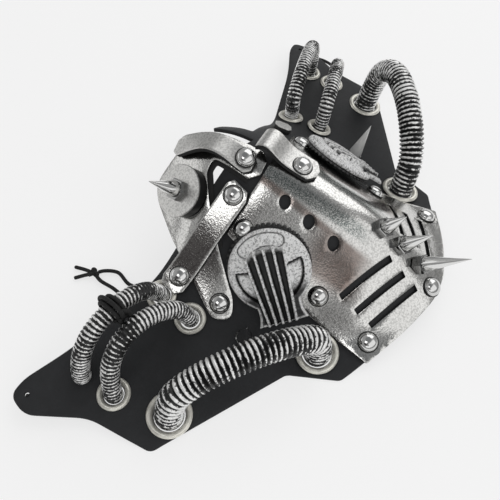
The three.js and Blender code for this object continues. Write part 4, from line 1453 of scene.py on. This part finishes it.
    def to_fin(self, points, number):
        """Distance to one of the fins, which spread from the tail to the head; below 0 inside it."""
        lean = (number - (FIN_COUNT - 1) / 2) * FIN_SPREAD
        top = np.array((lean - 0.3, 12.0 - 0.025 * lean * lean))
        along = np.array((lean * 0.7 - 0.6, -28.6)) - top
        t = np.clip(((points - top) @ along) / (along @ along), 0, 1)
        return np.hypot(*(points - top - t[:, None] * along).T) - FIN_HALF

    def places(self, side, sign):
        """Matrices of the backing ring and of the casting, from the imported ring."""
        corners = corners_of(f"medallion_ring_{side}") / MM + (0, MID_LENGTH, 0)
        vectors = np.linalg.eigh(np.cov((corners - corners.mean(axis=0)).T))[1]
        axis = vectors[:, 0] * np.sign(vectors[2, 0])
        x, y = sign * MEDALLION["x"], MEDALLION["y"]
        plane = (corners @ axis).min() - SEAT_GAP
        foot = np.array((x, y, (plane - x * axis[0] - y * axis[1]) / axis[2])) + SEAT_GAP * axis
        spin = sign * math.radians(MEDALLION["turn"])
        above = foot + axis * (RING_THICK + SEAT_GAP)
        return [place_on(to_frame(point), axis, spin) for point in (foot, above)]

    def ring(self, side, place):
        thick, radius = RING_THICK, RING_RADIUS
        profile = [(0, 0.2), (radius - 1.6, 0.2), (radius - 1.2, 0.5), (radius - 1.2, thick - 0.5),
                   (radius - 1.7, thick), (0, thick)]
        body = turned_mesh("backing", profile, 72)
        turns = np.linspace(0, 2 * math.pi, RING_TEETH, endpoint=False)
        level = np.full(RING_TEETH, thick / (radius - 1.2) / 2)
        points = np.column_stack([np.cos(turns), np.sin(turns), level])
        bead = [(0, -0.85), (0.9, -0.6), (1.3, 0), (0.9, 0.6), (0, 0.85)]
        shape = turned_mesh("bead", bead, 10)
        axes = np.tile((0.0, 0.0, 1.0), (RING_TEETH, 1))
        beads = set_fittings(points * (radius - 1.1) * MM, axes, shape, "black_rubber")
        mesh = joined("ring", [body, beads])
        mesh.transform(place @ Matrix.Translation((0, RING_TOWARD_HEAD * MM, 0)))
        if side == "left":
            mesh.flip_normals()
        nodes = [f"medallion_ring_{side}"]
        add_piece(f"toothed_ring_{side}", mesh, ["black_rubber"], nodes, 50)


class MASK_OT_hoses(MaskOperator, bpy.types.Operator):
    """Ribbed hoses and the elastic wound round one of them"""

    bl_idname = "mask.hoses"
    bl_label = "Hoses"

    def make(self, sizes):
        for arch in ARCHES:
            points = self.route(arch)
            edges = [(i, i + 1) for i in range(len(points) - 1)]
            source = new_mesh("line", to_frame(points).tolist(), [], edges)
            pitch = sizes.hose_pitch if arch.kind == "hose" else sizes.tube_pitch
            mesh = grown(source, "hose_tree", {
                "Radius": HOSE_RADII[arch.kind] * MM, "Pitch": pitch, "Groove": sizes.groove,
                "Sides": sizes.hose_sides, "Material": material("ribbed_hose"),
            })
            name = f"{arch.side}_{arch.kind}"
            add_piece(f"ribbed_{name}", mesh, ["ribbed_hose"], [f"hose_{name}"], 80)
            if name == "right_tube_a":
                self.wrap(points, sizes)

    def seat(self, arch, end):
        """Foot point and axis of a hose end, in the tables' millimetres."""
        node = f"grommet_{arch.side}_{arch.kind}_{end}"
        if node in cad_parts:
            foot, axis = seat_of(node)
            return foot / MM + (0, MID_LENGTH, 0), axis
        x, y = HOSE_ENDS[arch.kind][end]
        flat = np.array([[SIDES[arch.side] * x, y]])
        return skin(flat, SEAT_GAP)[0], surface_normal(flat)[0]

    def route(self, arch):
        """Middle line of a hose: straight stubs in its grommets, joined by a leaning arch."""
        rear, rear_axis = self.seat(arch, "rear")
        front, front_axis = self.seat(arch, "front")
        start = rear + HOSE_STUB * rear_axis
        end = front + HOSE_STUB * front_axis
        along = (end - start) / np.linalg.norm(end - start)
        sideways = np.cross(along, (0, 0, 1))
        sideways /= np.linalg.norm(sideways)
        aside = math.radians(arch.aside)
        rise = np.array((0, 0, math.cos(aside))) + sideways * math.sin(aside)
        lean = [math.radians(angle) for angle in arch.lean]
        pulls = [start + arch.pull[0] * (rise * math.cos(lean[0]) + along * math.sin(lean[0])),
                 end + arch.pull[1] * (rise * math.cos(lean[1]) - along * math.sin(lean[1]))]
        rows = [rear - HOSE_BURIED * rear_axis]
        for t in ARCH_STEPS:
            rows.append((1 - t) ** 3 * start + 3 * t * (1 - t) ** 2 * pulls[0]
                        + 3 * t * t * (1 - t) * pulls[1] + t ** 3 * end)
        rows.append(front - HOSE_BURIED * front_axis)
        return catmull(rows, 160)

    def wrap(self, points, sizes):
        """Elastic wound round the tube, with a loose loop that hangs to the next one."""
        radius = sizes.cord / MM / 2
        length = path_length(points)
        across, over = frames_along(points)
        index = np.arange(len(points))
        steps = np.linspace(-1, 1, 150)
        parts = []
        for half, reach, turns, begin in WRAP_LAYERS:
            place = (WRAP_ALONG + steps * half / length) * (len(points) - 1)
            angle = math.pi * turns * steps + begin

            def sample(values):
                return np.column_stack([np.interp(place, index, values[:, k]) for k in range(3)])

            wobble = HOSE_RADII["tube_a"] + reach + 0.25 * np.sin(3.1 * angle + begin)
            winding = sample(points) + wobble[:, None] * (
                np.cos(angle)[:, None] * sample(across) + np.sin(angle)[:, None] * sample(over))
            parts.append(swept_mesh("winding", winding, radius, 10))
        middle = points[round(WRAP_ALONG * (len(points) - 1))]
        parts.append(swept_mesh("loop", catmull(middle + np.array(WRAP_LOOP), 90), radius, 10))
        mesh = joined("wrap", parts)
        add_piece("wound_elastic", mesh, ["elastic"], ["tube_wrap"], 60)


class MASK_PT_panel(bpy.types.Panel):
    """Lists the mask's pieces"""

    bl_label = "Steampunk mask"
    bl_idname = "MASK_PT_panel"
    bl_space_type = "VIEW_3D"
    bl_region_type = "UI"
    bl_category = "Mask"

    def draw(self, context):
        for operator in OPERATORS:
            self.layout.operator(operator.bl_idname)
        for settings in (context.scene.mask_sizes, context.scene.mask_colours):
            box = self.layout.box()
            for key in settings.bl_rna.properties.keys():
                if key not in ("rna_type", "name"):
                    box.prop(settings, key)


OPERATORS = [
    MASK_OT_stage, MASK_OT_elastic, MASK_OT_base, MASK_OT_silver, MASK_OT_straps, MASK_OT_eye_disc,
    MASK_OT_grommets, MASK_OT_rivets, MASK_OT_spikes, MASK_OT_medallions, MASK_OT_hoses,
]
CLASSES = [MaskSizes, MaskColours, *OPERATORS, MASK_PT_panel]


def register():
    for cls in CLASSES:
        bpy.utils.register_class(cls)
    bpy.types.Scene.mask_sizes = PointerProperty(type=MaskSizes)
    bpy.types.Scene.mask_colours = PointerProperty(type=MaskColours)


def unregister():
    del bpy.types.Scene.mask_colours
    del bpy.types.Scene.mask_sizes
    for cls in reversed(CLASSES):
        bpy.utils.unregister_class(cls)


def main():
    register()
    for operator in OPERATORS:
        group, name = operator.bl_idname.split(".")
        getattr(getattr(bpy.ops, group), name)()


if __name__ == "__main__":
    main()
